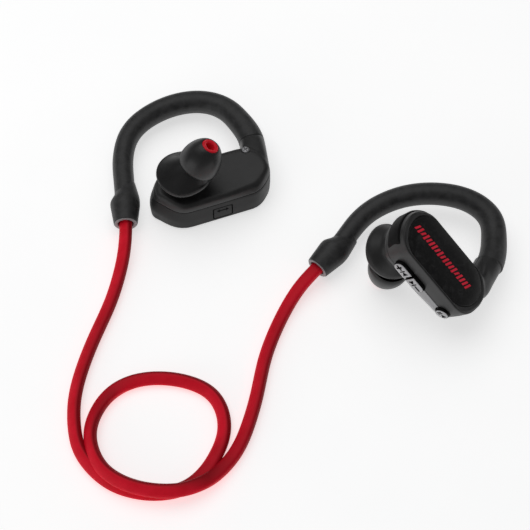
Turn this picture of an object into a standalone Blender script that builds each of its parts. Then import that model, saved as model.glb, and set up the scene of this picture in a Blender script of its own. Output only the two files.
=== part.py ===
"""Neckband sport earphones: two mirrored ear-hook units joined by one red cord.

Each unit is modelled once, in its own frame, in millimetres:
    u  along the housing, towards the end that carries the ear hook
    v  across the housing, towards the gap that the hook encloses
    w  through the housing, from the outer face (w = 0) to the ear
The left unit lies on its outer face. The right unit is the mirror image, w reversed, and
rests on its ear tip and its hook. The hooks are bendable, so each has its own route.
"""

import math

import bmesh
import bpy
import numpy as np
from mathutils import Matrix, Vector

MM = 0.001
GAP = 0.3

# Where the model's origin lies on the table, and where the two units lie.
ORIGIN = Vector((12.69, 18.01, 0.0))
LEFT_PLACE = (-16.47, 23.82, 0.0)
LEFT_HEADING = 19.5
RIGHT_PLACE = (52.1, -12.3, 23.52)
RIGHT_HEADING = -33.0
RIGHT_LEAN = -3.5
RIGHT_PITCH = 39.0

# Housing: a stadium tub closed by a lid on the ear side.
HOUSING_LENGTH = 37.6
HOUSING_WIDTH = 16.6
HOUSING_DEPTH = 12.0
WALL = 1.2
PARTING = 9.2
FLOOR_TOP = 2.0
CEILING = HOUSING_DEPTH - WALL
PLATE_INSET = 1.9
PLATE_THICKNESS = 0.8
PLATE_PROUD = 0.1
END_CENTRE = (HOUSING_LENGTH - HOUSING_WIDTH) / 2

# Driver housing, a round pod on the lid, and the angled nozzle that holds the ear tip.
POD_CENTRE = Vector((-9.2, 0.5, 0.0))
POD_RADIUS = 7.25
POD_SEAM = 18.0
POD_TOP = 22.3
NECK_RADIUS = 5.1
POD_SIDES = 24
TIP_CENTRE = Vector((-2.6, -0.5, 23.9))
NOZZLE_TILT = math.radians(28.6)
NOZZLE_AXIS = Vector((math.sin(NOZZLE_TILT), 0.0, math.cos(NOZZLE_TILT)))
NOZZLE_RADIUS = 2.3
NOZZLE_BORE = 1.6
NOZZLE_BACK = -4.4
TIP_RADIUS = 6.3

# Side controls, on the long wall away from the hook gap.
CONTROL_LEVEL = 6.2
VOLUME_CENTRE = -3.35
VOLUME_LENGTH = 13.4
VOLUME_HEIGHT = 4.5
VOLUME_SPLIT = 0.5
BUTTON_PROUD = 0.35
BUTTON_CLEARANCE = 0.3
POWER_ANGLE = math.radians(12.0)
POWER_RADIUS = 2.1

# Charging port and its cover, in the same wall of the left unit.
PORT_CENTRE = 0.6
PORT_LEVEL = 4.3
PORT_WIDTH = 5.7
PORT_HEIGHT = 5.0

# Ear hook: half widths in and across the hook's plane, and the bore for the wires.
SEAM_SECTION = (4.0, 4.15)
ROOT_SECTION = (3.3, 3.3)
MID_SECTION = (3.45, 3.7)
END_SECTION = (3.1, 3.35)
HOOK_BORE = 1.2
HOOK_WIRE = 0.75
TAPER_SHARE = 0.3
HOOK_POINTS = 44
GLAND_LENGTH = 11.2
GLAND_RADIUS = 4.55
GLAND_RING = 3.55
GLAND_MOUTH = 2.6
GLAND_MOUTH_DEPTH = 2.4
CORD_WIDTH = 3.8

# The rigid arm leaves the housing through its hook end; both units share its route.
ARM_ROUTE = [(12.6, 2.2, 6.0), (15.2, 5.6, 6.0), (16.8, 9.4, 6.0), (17.4, 13.2, 6.0)]

# Hook routes on the table, from the arm's seam to the cord gland.
LEFT_HOOK = [
    (-8.1, 48.9, 5.8), (-11.7, 53.2, 5.7), (-15.9, 55.8, 5.6), (-20.9, 56.9, 5.5),
    (-26.5, 56.4, 5.4), (-31.9, 54.5, 5.3), (-36.6, 51.7, 5.1), (-40.4, 48.1, 5.0),
    (-43.0, 43.6, 4.9), (-44.1, 38.8, 4.8), (-44.3, 33.6, 4.7), (-43.7, 27.6, 4.7),
    (-42.9, 19.9, 4.6), (-42.4, 12.2, 4.6),
]
RIGHT_HOOK = [
    (69.0, 5.8, 6.8), (67.9, 10.7, 7.3), (65.2, 14.9, 7.8), (60.5, 18.1, 8.3),
    (54.8, 19.8, 8.6), (48.8, 20.1, 8.6), (42.8, 19.4, 8.3), (37.3, 17.7, 7.7),
    (32.4, 15.1, 7.0), (28.1, 11.3, 6.2), (24.6, 6.6, 5.5), (20.5, 1.3, 4.9),
    (15.9, -3.4, 4.6),
]

# The cord on the table, from the left gland through one full loop to the right gland.
CORD_ROUTE = [
    (-42.3, 10.2, 4.6), (-42.7, 1.5, 3.5), (-43.8, -4.8, 2.4), (-45.8, -13.2, 1.95),
    (-49.8, -25.0, 1.95), (-52.9, -35.5, 1.95), (-54.5, -45.3, 1.95), (-54.1, -53.7, 1.95),
    (-52.3, -60.6, 1.95), (-48.2, -66.6, 1.95), (-42.6, -71.1, 1.95), (-36.0, -73.5, 1.95),
    (-29.0, -74.0, 1.95), (-22.5, -72.4, 1.95), (-17.3, -68.2, 1.95), (-13.7, -62.4, 1.95),
    (-11.7, -56.2, 1.95), (-12.1, -49.8, 1.95), (-15.3, -44.0, 1.95), (-21.9, -40.2, 1.95),
    (-29.7, -38.8, 1.95), (-37.0, -39.5, 1.95), (-43.4, -42.7, 1.95), (-47.8, -48.6, 1.95),
    (-49.2, -55.4, 1.95), (-47.6, -61.9, 2.0), (-43.4, -67.2, 2.9), (-36.9, -71.7, 5.1),
    (-29.3, -74.2, 6.0), (-22.8, -74.0, 6.1), (-17.3, -71.3, 5.2), (-12.3, -66.5, 2.9),
    (-8.2, -60.7, 2.0), (-4.7, -52.4, 1.95), (-2.0, -43.4, 1.95), (0.2, -33.3, 1.95),
    (3.0, -23.4, 2.0), (6.8, -15.2, 2.7), (10.8, -9.1, 3.8), (14.1, -5.4, 4.5),
]
CORD_POINTS = 76

SMOOTH_ANGLE = math.radians(35.0)


# ---------------------------------------------------------------- materials


def make_material(name, colour, roughness, metallic=0.0):
    material = bpy.data.materials.new(name)
    material.use_nodes = True
    shader = material.node_tree.nodes["Principled BSDF"]
    shader.inputs["Base Color"].default_value = (*colour, 1.0)
    shader.inputs["Roughness"].default_value = roughness
    shader.inputs["Metallic"].default_value = metallic
    return material


def make_materials():
    return {
        "housing": make_material("housing_plastic", (0.022, 0.022, 0.024), 0.5),
        "plate": make_material("plate_gloss", (0.008, 0.008, 0.009), 0.3),
        "rubber": make_material("hook_rubber", (0.02, 0.02, 0.021), 0.6),
        "silicone": make_material("tip_silicone", (0.012, 0.012, 0.013), 0.4),
        "red_rubber": make_material("red_silicone", (0.60, 0.012, 0.03), 0.45),
        "grey": make_material("grey_plastic", (0.22, 0.22, 0.23), 0.5),
        "cord": make_material("cord_jacket", (0.40, 0.012, 0.025), 0.45),
        "steel": make_material("steel", (0.55, 0.55, 0.56), 0.3, 1.0),
        "board": make_material("circuit_board", (0.02, 0.12, 0.05), 0.5),
        "chip": make_material("black_resin", (0.02, 0.02, 0.02), 0.5),
        "foil": make_material("battery_foil", (0.6, 0.6, 0.62), 0.35, 1.0),
        "film": make_material("driver_film", (0.5, 0.45, 0.3), 0.3),
    }


# ---------------------------------------------------------------- mesh building


def add_object(name, bm, material, place):
    """Turns a bmesh, in millimetres, into a smooth-shaded object in metres."""
    bmesh.ops.recalc_face_normals(bm, faces=bm.faces)
    bmesh.ops.scale(bm, vec=(MM, MM, MM), verts=bm.verts)
    mesh = bpy.data.meshes.new(name)
    bm.to_mesh(mesh)
    bm.free()
    mesh.shade_smooth()
    mesh.set_sharp_from_angle(angle=SMOOTH_ANGLE)
    mesh.materials.append(material)
    obj = bpy.data.objects.new(name, mesh)
    bpy.context.scene.collection.objects.link(obj)
    obj.parent = place
    return obj


def loft(name, rings, material, place, ring_shaped=False):
    """Skins a row of equal rings. A ring-shaped loft joins its last ring to its first."""
    bm = bmesh.new()
    rows = [[bm.verts.new(point) for point in ring] for ring in rings]
    count = len(rows[0])
    pairs = list(zip(rows, rows[1:]))
    if ring_shaped:
        pairs.append((rows[-1], rows[0]))
    else:
        bm.faces.new(rows[0])
        bm.faces.new(rows[-1])
    for low, high in pairs:
        for i in range(count):
            j = (i + 1) % count
            bm.faces.new((low[i], low[j], high[j], high[i]))
    return add_object(name, bm, material, place)


def stadium(length, width, w, segments=8):
    """One ring: a stadium in the u-v plane at level w."""
    radius = width / 2
    reach = length / 2 - radius
    ring = []
    for end in (1, -1):
        for i in range(segments + 1):
            angle = math.pi * (i / segments - 0.5) + (0 if end > 0 else math.pi)
            ring.append(Vector((end * reach + radius * math.cos(angle), radius * math.sin(angle), w)))
    return ring


def housing_ring(inset, w):
    return stadium(HOUSING_LENGTH - 2 * inset, HOUSING_WIDTH - 2 * inset, w)


def turned_rings(profile, centre, axis, segments):
    """Rings of a turned shape: profile holds (radius, height along the axis)."""
    side = axis.orthogonal().normalized()
    turn = axis.cross(side)
    rings = []
    for radius, height in profile:
        ring = []
        for i in range(segments):
            angle = 2 * math.pi * i / segments
            offset = side * (radius * math.cos(angle)) + turn * (radius * math.sin(angle))
            ring.append(centre + axis * height + offset)
        rings.append(ring)
    return rings


def turned(name, profile, centre, axis, material, place, segments=24, hollow=False):
    rings = turned_rings(profile, centre, axis, segments)
    return loft(name, rings, material, place, ring_shaped=hollow)


def prism(name, outline, origin, across, up, depth, material, place):
    """Extrudes an outline, drawn in the across-up plane, by depth along across x up."""
    push = across.cross(up).normalized() * depth
    ring = [origin + across * x + up * y for x, y in outline]
    return loft(name, [ring, [point + push for point in ring]], material, place)


def box(name, low, high, material, place):
    low, high = Vector(low), Vector(high)
    size = high - low
    outline = [(0, 0), (size.x, 0), (size.x, size.y), (0, size.y)]
    return prism(name, outline, low, Vector((1, 0, 0)), Vector((0, 1, 0)), size.z, material, place)


def pill_outline(length, height, left_round=True, right_round=True, segments=6):
    """A pill, or half of one: an end that isn't round is square."""
    radius = height / 2
    points = []
    for end, is_round in ((1, right_round), (-1, left_round)):
        if not is_round:
            points += [(end * length / 2, -end * radius), (end * length / 2, end * radius)]
            continue
        for i in range(segments + 1):
            angle = math.pi * (i / segments - 0.5) + (0 if end > 0 else math.pi)
            centre = end * (length / 2 - radius)
            points.append((centre + radius * math.cos(angle), radius * math.sin(angle)))
    return points


def cut(target, cutter):
    """Cuts one solid out of another; the cutter stays in the scene, unrendered."""
    cutter.hide_render = True
    cutter.display_type = "WIRE"
    modifier = target.modifiers.new("cut_" + cutter.name, "BOOLEAN")
    modifier.operation = "DIFFERENCE"
    modifier.object = cutter
    modifier.solver = "EXACT"


# ---------------------------------------------------------------- curves


def smooth_curve(points, count):
    """Evenly spaced points on the natural cubic spline through the given points."""
    knots = np.array([tuple(point) for point in points])
    steps = np.linalg.norm(np.diff(knots, axis=0), axis=1)
    times = np.concatenate([[0.0], np.cumsum(steps)])
    size = len(knots)
    matrix = np.eye(size)
    right = np.zeros((size, 3))
    for i in range(1, size - 1):
        before, after = steps[i - 1], steps[i]
        matrix[i, i - 1 : i + 2] = (before, 2 * (before + after), after)
        right[i] = 6 * ((knots[i + 1] - knots[i]) / after - (knots[i] - knots[i - 1]) / before)
    bends = np.linalg.solve(matrix, right)
    fine = np.linspace(0.0, times[-1], 20 * size)
    index = np.clip(np.searchsorted(times, fine) - 1, 0, size - 2)
    span = steps[index][:, None]
    a = (times[index + 1] - fine)[:, None]
    b = (fine - times[index])[:, None]
    curve = (
        (bends[index] * a**3 + bends[index + 1] * b**3) / (6 * span)
        + (knots[index] / span - bends[index] * span / 6) * a
        + (knots[index + 1] / span - bends[index + 1] * span / 6) * b
    )
    along = np.concatenate([[0.0], np.cumsum(np.linalg.norm(np.diff(curve, axis=0), axis=1))])
    even = np.linspace(0.0, along[-1], count)
    return [Vector([np.interp(at, along, curve[:, k]) for k in range(3)]) for at in even]


def tangents(path):
    found = []
    for i in range(len(path)):
        ahead = path[min(i + 1, len(path) - 1)]
        behind = path[max(i - 1, 0)]
        found.append((ahead - behind).normalized())
    return found


def path_frames(path, normals):
    """(point, side, across) at each point: the two directions that its section lies along."""
    frames = []
    for point, tangent, normal in zip(path, tangents(path), normals):
        side = tangent.cross(normal).normalized()
        frames.append((point, side, side.cross(tangent)))
    return frames


def moved(frame, distance):
    """The frame, moved along the path's direction."""
    point, side, across = frame
    return (point + across.cross(side) * distance, side, across)


def swept_rings(frames, sections, segments=10):
    """Oval rings along a path: a section is (half width in plane, half width across it)."""
    rings = []
    for (point, side, across), (wide, deep) in zip(frames, sections):
        ring = []
        for i in range(segments):
            angle = 2 * math.pi * i / segments
            ring.append(point + side * (wide * math.cos(angle)) + across * (deep * math.sin(angle)))
        rings.append(ring)
    return rings


def swept_tube(name, frames, sections, bore, material, place):
    """An oval tube with a round bore, open at both ends."""
    outer = swept_rings(frames, sections)
    bore_frames = frames[:-1:2] + frames[-1:]
    inner = swept_rings(bore_frames, [(bore, bore)] * len(bore_frames))
    return loft(name, outer + inner[::-1], material, place, ring_shaped=True)


def mix(first, second, share):
    return tuple(a + (b - a) * share for a, b in zip(first, second))


# ---------------------------------------------------------------- one unit


class Unit:
    """One ear-hook unit: its name, its place on the table and its shared pieces."""

    def __init__(self, side, matrix, hook_route, materials):
        self.side = side
        self.materials = materials
        self.hook_route = [Vector(point) - ORIGIN for point in hook_route]
        shift = Matrix.Translation(-ORIGIN)
        self.matrix = shift @ matrix
        self.place = bpy.data.objects.new(side + "_unit", None)
        bpy.context.scene.collection.objects.link(self.place)
        placed = self.matrix.copy()
        placed.translation *= MM
        self.place.matrix_world = placed

    def name(self, piece):
        return f"{self.side}_{piece}"

    def build(self):
        self.build_housing()
        self.build_arm_and_hook()
        self.build_driver_pod()
        self.build_ear_tip()

    def build_housing(self):
        make = self.materials
        floor = PLATE_PROUD + PLATE_THICKNESS + GAP
        recess = PLATE_INSET - GAP
        tub = [
            housing_ring(recess, floor),
            housing_ring(recess, PLATE_PROUD),
            housing_ring(1.0, 0.25),
            housing_ring(0.35, 0.9),
            housing_ring(0.0, 2.2),
            housing_ring(0.0, PARTING - GAP / 2),
            housing_ring(WALL, PARTING - GAP / 2),
            housing_ring(WALL, FLOOR_TOP + 0.6),
            housing_ring(WALL + 0.6, FLOOR_TOP),
        ]
        self.outer_shell = loft(self.name("outer_shell"), tub, make["housing"], self.place)
        lid = [
            housing_ring(WALL, CEILING),
            housing_ring(WALL, PARTING + GAP / 2),
            housing_ring(0.0, PARTING + GAP / 2),
            housing_ring(0.1, 10.6),
            housing_ring(0.7, 11.6),
            housing_ring(1.7, HOUSING_DEPTH),
        ]
        self.inner_shell = loft(self.name("inner_shell"), lid, make["housing"], self.place)
        plate = [
            housing_ring(PLATE_INSET, PLATE_THICKNESS),
            housing_ring(PLATE_INSET, 0.15),
            housing_ring(PLATE_INSET + 0.2, 0.0),
        ]
        loft(self.name("outer_plate"), plate, make["plate"], self.place)
        seal = [
            housing_ring(inset, w)
            for inset, w in (
                (WALL + GAP, PARTING - 0.15),
                (WALL + GAP, PARTING + 0.85),
                (WALL + GAP + 0.6, PARTING + 0.85),
                (WALL + GAP + 0.6, PARTING - 0.15),
            )
        ]
        self.seal = loft(
            self.name("housing_seal"), seal, make["silicone"], self.place, ring_shaped=True
        )
        neck = [(NECK_RADIUS + GAP, CEILING - 1.0), (NECK_RADIUS + GAP, HOUSING_DEPTH + 1.0)]
        hole = turned(
            self.name("neck_cutter"), neck, POD_CENTRE, Vector((0, 0, 1)), make["chip"], self.place
        )
        cut(self.inner_shell, hole)
        self.build_screw()

    def build_screw(self):
        """A small countersunk screw through the lid, beside the hook's root."""
        centre = Vector((13.6, 4.6, 0.0))
        up = Vector((0, 0, 1))
        make = self.materials
        recess = [(0.85, CEILING - 0.5), (0.85, 11.2), (1.55, 11.2), (1.55, 12.5)]
        hole = turned(self.name("screw_cutter"), recess, centre, up, make["chip"], self.place, 12)
        cut(self.inner_shell, hole)
        screw = [(0.5, 10.35), (0.5, 11.5), (1.25, 11.5), (1.25, 11.75), (0.95, 11.9)]
        turned(self.name("housing_screw"), screw, centre, up, make["steel"], self.place, 12)

    def build_arm_and_hook(self):
        """The rigid arm, the rubber hook on its wire, and the gland at the hook's end."""
        make = self.materials
        root = [self.matrix @ Vector(point) for point in ARM_ROUTE]
        path = smooth_curve(root + self.hook_route, HOOK_POINTS)
        arm_end = min(range(len(path)), key=lambda i: (path[i] - root[-1]).length)
        root_normal = (self.matrix.to_3x3() @ Vector((0, 0, 1))).normalized()
        table_normal = Vector((0, 0, 1 if root_normal.z > 0 else -1))
        last = len(path) - 1
        normals = [root_normal.lerp(table_normal, (i / last) ** 0.7) for i in range(last + 1)]

        frames = path_frames(path, normals)
        arm_sections = [mix(ROOT_SECTION, SEAM_SECTION, i / arm_end) for i in range(arm_end + 1)]
        arm_frames = frames[: arm_end + 1]
        swept_tube(
            self.name("hook_arm"), arm_frames, arm_sections, HOOK_BORE, make["housing"], None
        )
        grown = [(wide + GAP, deep + GAP) for wide, deep in arm_sections]
        cutter_frames = [moved(arm_frames[0], -GAP)] + arm_frames[1:]
        cutter = loft(
            self.name("arm_cutter"), swept_rings(cutter_frames, grown), make["chip"], None
        )
        for piece in (self.outer_shell, self.inner_shell, self.seal):
            cut(piece, cutter)

        length = sum((b - a).length for a, b in zip(path, path[1:]))
        gland_start = last - round(GLAND_LENGTH / length * last)
        hook_frames = [moved(frames[arm_end], GAP)] + frames[arm_end + 1 : gland_start + 1]
        sections = []
        for i in range(len(hook_frames)):
            share = i / (len(hook_frames) - 1)
            if share < TAPER_SHARE:
                sections.append(mix(SEAM_SECTION, MID_SECTION, share / TAPER_SHARE))
            else:
                rest = (share - TAPER_SHARE) / (1 - TAPER_SHARE)
                sections.append(mix(MID_SECTION, END_SECTION, rest))
        swept_tube(
            self.name("hook_sleeve"), hook_frames, sections, HOOK_BORE, make["rubber"], None
        )
        wire_frames = frames[2 : gland_start - 1]
        wire_sections = [(HOOK_WIRE, HOOK_WIRE)] * len(wire_frames)
        wire_rings = swept_rings(wire_frames, wire_sections, 6)
        loft(self.name("hook_wire"), wire_rings, make["steel"], None)
        self.build_gland(path[gland_start], path[last])

    def build_gland(self, start, end):
        """The strain relief: a swollen sleeve with a round mouth for the cord."""
        axis = (end - start).normalized()
        length = (end - start).length
        profile = [
            (END_SECTION[0], GAP),
            (END_SECTION[0] + 0.5, 0.6),
            (GLAND_RADIUS, 2.4),
            (GLAND_RADIUS, 3.8),
            (GLAND_RING, length - 0.2),
            (GLAND_RING - 0.2, length),
            (GLAND_MOUTH, length),
            (GLAND_MOUTH, length - GLAND_MOUTH_DEPTH),
            (HOOK_BORE, length - GLAND_MOUTH_DEPTH),
            (HOOK_BORE, GAP),
        ]
        turned(
            self.name("cord_gland"), profile, start, axis, self.materials["grey"], None, 20, True
        )
        self.cord_seat = end - axis * (GLAND_MOUTH_DEPTH - GAP)

    def build_driver_pod(self):
        make = self.materials
        up = Vector((0, 0, 1))
        bowl = [
            (NECK_RADIUS, CEILING - 0.8),
            (NECK_RADIUS, POD_SEAM - 3.9),
            (6.5, POD_SEAM - 2.8),
            (7.1, POD_SEAM - 1.4),
            (POD_RADIUS, POD_SEAM - GAP / 2),
            (6.25, POD_SEAM - GAP / 2),
            (6.1, POD_SEAM - 1.6),
            (4.1, POD_SEAM - 2.8),
            (4.1, CEILING - 0.8),
        ]
        turned(self.name("driver_bowl"), bowl, POD_CENTRE, up, make["housing"], self.place, POD_SIDES, True)
        cap = [
            (POD_RADIUS, POD_SEAM + GAP / 2),
            (7.0, POD_SEAM + 1.5),
            (6.1, POD_SEAM + 3.0),
            (4.2, POD_TOP - 0.35),
            (1.6, POD_TOP),
        ]
        cap_obj = turned(
            self.name("driver_cap"), cap, POD_CENTRE, up, make["housing"], self.place, POD_SIDES
        )
        hollow = [
            (6.25, POD_SEAM - 1.0),
            (6.1, POD_SEAM + 1.0),
            (5.5, POD_SEAM + 2.1),
            (3.9, POD_TOP - 1.3),
            (1.4, POD_TOP - 1.0),
        ]
        cut(cap_obj, turned(
            self.name("cap_cutter"), hollow, POD_CENTRE, up, make["chip"], self.place, POD_SIDES
        ))
        port = [(NOZZLE_RADIUS + GAP, -7.5), (NOZZLE_RADIUS + GAP, -1.0)]
        cut(cap_obj, turned(
            self.name("port_cutter"), port, TIP_CENTRE, NOZZLE_AXIS, make["chip"], self.place, 20
        ))
        magnet = [(3.2, POD_SEAM - 2.5), (3.2, POD_SEAM - 0.3)]
        turned(self.name("driver_magnet"), magnet, POD_CENTRE, up, make["steel"], self.place)
        frame = [
            (5.8, POD_SEAM - 1.2),
            (5.8, POD_SEAM + 0.2),
            (3.6, POD_SEAM + 0.2),
            (3.6, POD_SEAM - 1.2),
        ]
        turned(self.name("driver_frame"), frame, POD_CENTRE, up, make["chip"], self.place, 24, True)
        film = [
            (5.2, POD_SEAM + 0.55),
            (5.2, POD_SEAM + 0.7),
            (3.0, POD_SEAM + 1.0),
            (1.0, POD_SEAM + 1.15),
        ]
        turned(self.name("driver_diaphragm"), film, POD_CENTRE, up, make["film"], self.place)
        nozzle = [
            (NOZZLE_RADIUS, NOZZLE_BACK),
            (NOZZLE_RADIUS, 0.6),
            (NOZZLE_RADIUS + 0.3, 0.9),
            (NOZZLE_RADIUS + 0.2, 1.5),
            (NOZZLE_BORE, 1.5),
            (NOZZLE_BORE, NOZZLE_BACK),
        ]
        turned(
            self.name("nozzle"), nozzle, TIP_CENTRE, NOZZLE_AXIS, make["housing"], self.place, 20, True
        )
        gauze = [(NOZZLE_BORE - GAP, 0.9), (NOZZLE_BORE - GAP, 1.2)]
        turned(self.name("nozzle_mesh"), gauze, TIP_CENTRE, NOZZLE_AXIS, make["steel"], self.place, 20)

    def build_ear_tip(self):
        make = self.materials
        core = [
            (3.5, -1.9),
            (3.5, 3.0),
            (2.75, 4.0),
            (2.55, 6.1),
            (2.35, 6.3),
            (1.35, 6.3),
            (1.35, 1.9),
            (2.95, 1.9),
            (2.95, -1.9),
        ]
        turned(
            self.name("ear_tip_core"), core, TIP_CENTRE, NOZZLE_AXIS, make["red_rubber"], self.place,
            20, True,
        )
        dome = [
            (2.9, 6.0),
            (3.9, 5.55),
            (5.1, 4.2),
            (5.95, 2.2),
            (TIP_RADIUS, 0.0),
            (6.2, -2.0),
            (5.8, -3.1),
            (5.3, -2.9),
            (5.55, -0.6),
            (5.35, 1.4),
            (4.7, 3.1),
            (3.9, 4.1),
            (3.1, 4.4),
        ]
        turned(
            self.name("ear_tip_dome"), dome, TIP_CENTRE, NOZZLE_AXIS, make["silicone"], self.place,
            24, True,
        )


# ---------------------------------------------------------------- left unit's own pieces

WALL_FACE = -HOUSING_WIDTH / 2
ACROSS = Vector((1, 0, 0))
UP = Vector((0, 0, 1))
INWARD = Vector((0, 1, 0))


def wall_prism(unit, piece, outline, u, w, outer, inner, material):
    """A prism through the control wall: outer and inner are depths, v, of its two ends."""
    origin = Vector((u, inner, w))
    return prism(unit.name(piece), outline, origin, ACROSS, UP, inner - outer, material, unit.place)


def rectangle(length, height):
    return [
        (-length / 2, -height / 2), (length / 2, -height / 2),
        (length / 2, height / 2), (-length / 2, height / 2),
    ]


def build_charging_side(unit):
    make = unit.materials
    window = rectangle(PORT_WIDTH + 2 * GAP, PORT_HEIGHT + 2 * GAP)
    cutter = wall_prism(
        unit, "cover_cutter", window, PORT_CENTRE, PORT_LEVEL, WALL_FACE - 1, WALL_FACE + 2,
        make["chip"],
    )
    cut(unit.outer_shell, cutter)
    cover = rectangle(PORT_WIDTH, PORT_HEIGHT)
    wall_prism(
        unit, "port_cover", cover, PORT_CENTRE, PORT_LEVEL, WALL_FACE - 0.05, WALL_FACE + 0.9,
        make["rubber"],
    )
    socket_axis = -INWARD
    mouth = Vector((PORT_CENTRE, WALL_FACE + 1.3, PORT_LEVEL))
    socket = [(2.1, 0.0), (2.1, -4.2), (1.3, -4.2), (1.3, 0.0)]
    turned(
        unit.name("charging_socket"), socket, mouth, socket_axis, make["steel"], unit.place, 16, True
    )
    pin = [(0.45, -4.2), (0.45, -0.8)]
    turned(unit.name("charging_pin"), pin, mouth, socket_axis, make["steel"], unit.place, 8)
    box(unit.name("battery"), (-12.8, -2.4, 2.9), (9.6, 6.0, 7.2), make["foil"], unit.place)
    box(unit.name("charging_board"), (-12.6, -6.1, 7.6), (9.2, 6.1, 8.4), make["board"], unit.place)


# ---------------------------------------------------------------- right unit's own pieces


def build_volume_keys(unit):
    make = unit.materials
    window = pill_outline(VOLUME_LENGTH, VOLUME_HEIGHT)
    cutter = wall_prism(
        unit, "volume_cutter", window, VOLUME_CENTRE, CONTROL_LEVEL, WALL_FACE - 1, WALL_FACE + 2,
        make["chip"],
    )
    cut(unit.outer_shell, cutter)
    key_length = (VOLUME_LENGTH - 2 * BUTTON_CLEARANCE - VOLUME_SPLIT) / 2
    key_height = VOLUME_HEIGHT - 2 * BUTTON_CLEARANCE
    shift = (key_length + VOLUME_SPLIT) / 2
    for piece, side in (("volume_up", -1), ("volume_down", 1)):
        centre = VOLUME_CENTRE + side * shift
        outline = pill_outline(key_length, key_height, side < 0, side > 0)
        wall_prism(
            unit, piece + "_button", outline, centre, CONTROL_LEVEL, WALL_FACE - BUTTON_PROUD,
            WALL_FACE + WALL + 0.5, make["grey"],
        )
        build_switch(unit, piece, Vector((centre, WALL_FACE + WALL + 0.5, CONTROL_LEVEL)), -INWARD)


def build_switch(unit, piece, key_back, outward):
    """A tactile switch behind a key: its plunger stops short by the key's travel."""
    make = unit.materials
    plunger = 0.45
    body_face = key_back - outward * (plunger + 0.5)
    turned(
        unit.name(piece + "_switch"),
        [(1.6, -1.2), (1.6, 0.0), (0.7, 0.0), (0.7, 0.5)],
        body_face, outward, make["steel"], unit.place, 12,
    )


def build_power_key(unit):
    make = unit.materials
    outward = Vector((math.sin(POWER_ANGLE), -math.cos(POWER_ANGLE), 0.0))
    centre = Vector((END_CENTRE, 0.0, CONTROL_LEVEL))
    face = HOUSING_WIDTH / 2
    window = [(POWER_RADIUS + BUTTON_CLEARANCE, face - 2.0), (POWER_RADIUS + BUTTON_CLEARANCE, face + 1.0)]
    cutter = turned(
        unit.name("power_cutter"), window, centre, outward, make["chip"], unit.place, 20
    )
    cut(unit.outer_shell, cutter)
    back = face - WALL - 0.5
    key = [(POWER_RADIUS, back), (POWER_RADIUS, face + 0.25), (POWER_RADIUS - 0.3, face + BUTTON_PROUD)]
    turned(unit.name("power_button"), key, centre, outward, make["grey"], unit.place, 20)
    build_switch(unit, "power", centre + outward * back, outward)


def build_radio_side(unit):
    make = unit.materials
    build_volume_keys(unit)
    build_power_key(unit)
    box(unit.name("main_board"), (-12.8, -2.9, 3.2), (9.0, 6.1, 4.0), make["board"], unit.place)
    box(unit.name("radio_shield"), (-11.0, -1.6, 4.5), (-1.0, 5.6, 6.0), make["steel"], unit.place)
    box(unit.name("antenna"), (2.0, 3.6, 4.5), (8.5, 5.6, 5.3), make["chip"], unit.place)
    box(unit.name("key_board"), (-10.5, -3.9, 4.6), (4.0, -3.3, 8.3), make["board"], unit.place)
    up = Vector((0, 0, 1))
    capsule = [(1.9, 0.0), (1.9, 1.4)]
    turned(
        unit.name("microphone"), capsule, Vector((5.0, 0.6, 4.5)), up, make["steel"], unit.place, 16
    )


# ---------------------------------------------------------------- cord


def build_cord(left, right, material):
    """One flat cord; its solid is a round tube as wide as the cord."""
    inner = [Vector(point) - ORIGIN for point in CORD_ROUTE]
    points = smooth_curve([left.cord_seat] + inner + [right.cord_seat], CORD_POINTS)
    curve = bpy.data.curves.new("headset_cord", "CURVE")
    curve.dimensions = "3D"
    curve.bevel_depth = CORD_WIDTH / 2 * MM
    curve.bevel_resolution = 2
    curve.use_fill_caps = True
    spline = curve.splines.new("POLY")
    spline.points.add(len(points) - 1)
    for slot, point in zip(spline.points, points):
        slot.co = (*(point * MM), 1.0)
    curve.materials.append(material)
    cord = bpy.data.objects.new("headset_cord", curve)
    bpy.context.scene.collection.objects.link(cord)


# ---------------------------------------------------------------- assembly


def left_matrix():
    return Matrix.Translation(LEFT_PLACE) @ Matrix.Rotation(math.radians(LEFT_HEADING), 4, "Z")


def right_matrix():
    """Turned to its heading, leaned about u, pitched about v, then mirrored through w."""
    heading = Matrix.Rotation(math.radians(RIGHT_HEADING), 4, "Z")
    lean = Matrix.Rotation(math.radians(RIGHT_LEAN), 4, "X")
    pitch = Matrix.Rotation(math.radians(RIGHT_PITCH), 4, "Y")
    mirror = Matrix.Diagonal((1, 1, -1, 1))
    return Matrix.Translation(RIGHT_PLACE) @ heading @ lean @ pitch @ mirror


def main():
    for obj in list(bpy.data.objects):
        bpy.data.objects.remove(obj)
    materials = make_materials()
    left = Unit("left", left_matrix(), LEFT_HOOK, materials)
    right = Unit("right", right_matrix(), RIGHT_HOOK, materials)
    left.build()
    right.build()
    build_charging_side(left)
    build_radio_side(right)
    build_cord(left, right, materials["cord"])


main()
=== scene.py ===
"""Looks for the neckband earphones: fine shells, sleeves, tips, keys and the flat red cord.

Each unit is modelled in its own frame, in millimetres, as the CAD model is:
    u  along the housing, towards the end that carries the ear hook
    v  across the housing, towards the gap that the hook encloses
    w  through the housing, from the outer face (w = 0) to the ear
"""

import math

import bmesh
import bpy
import numpy as np
from mathutils import Matrix, Vector


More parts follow.
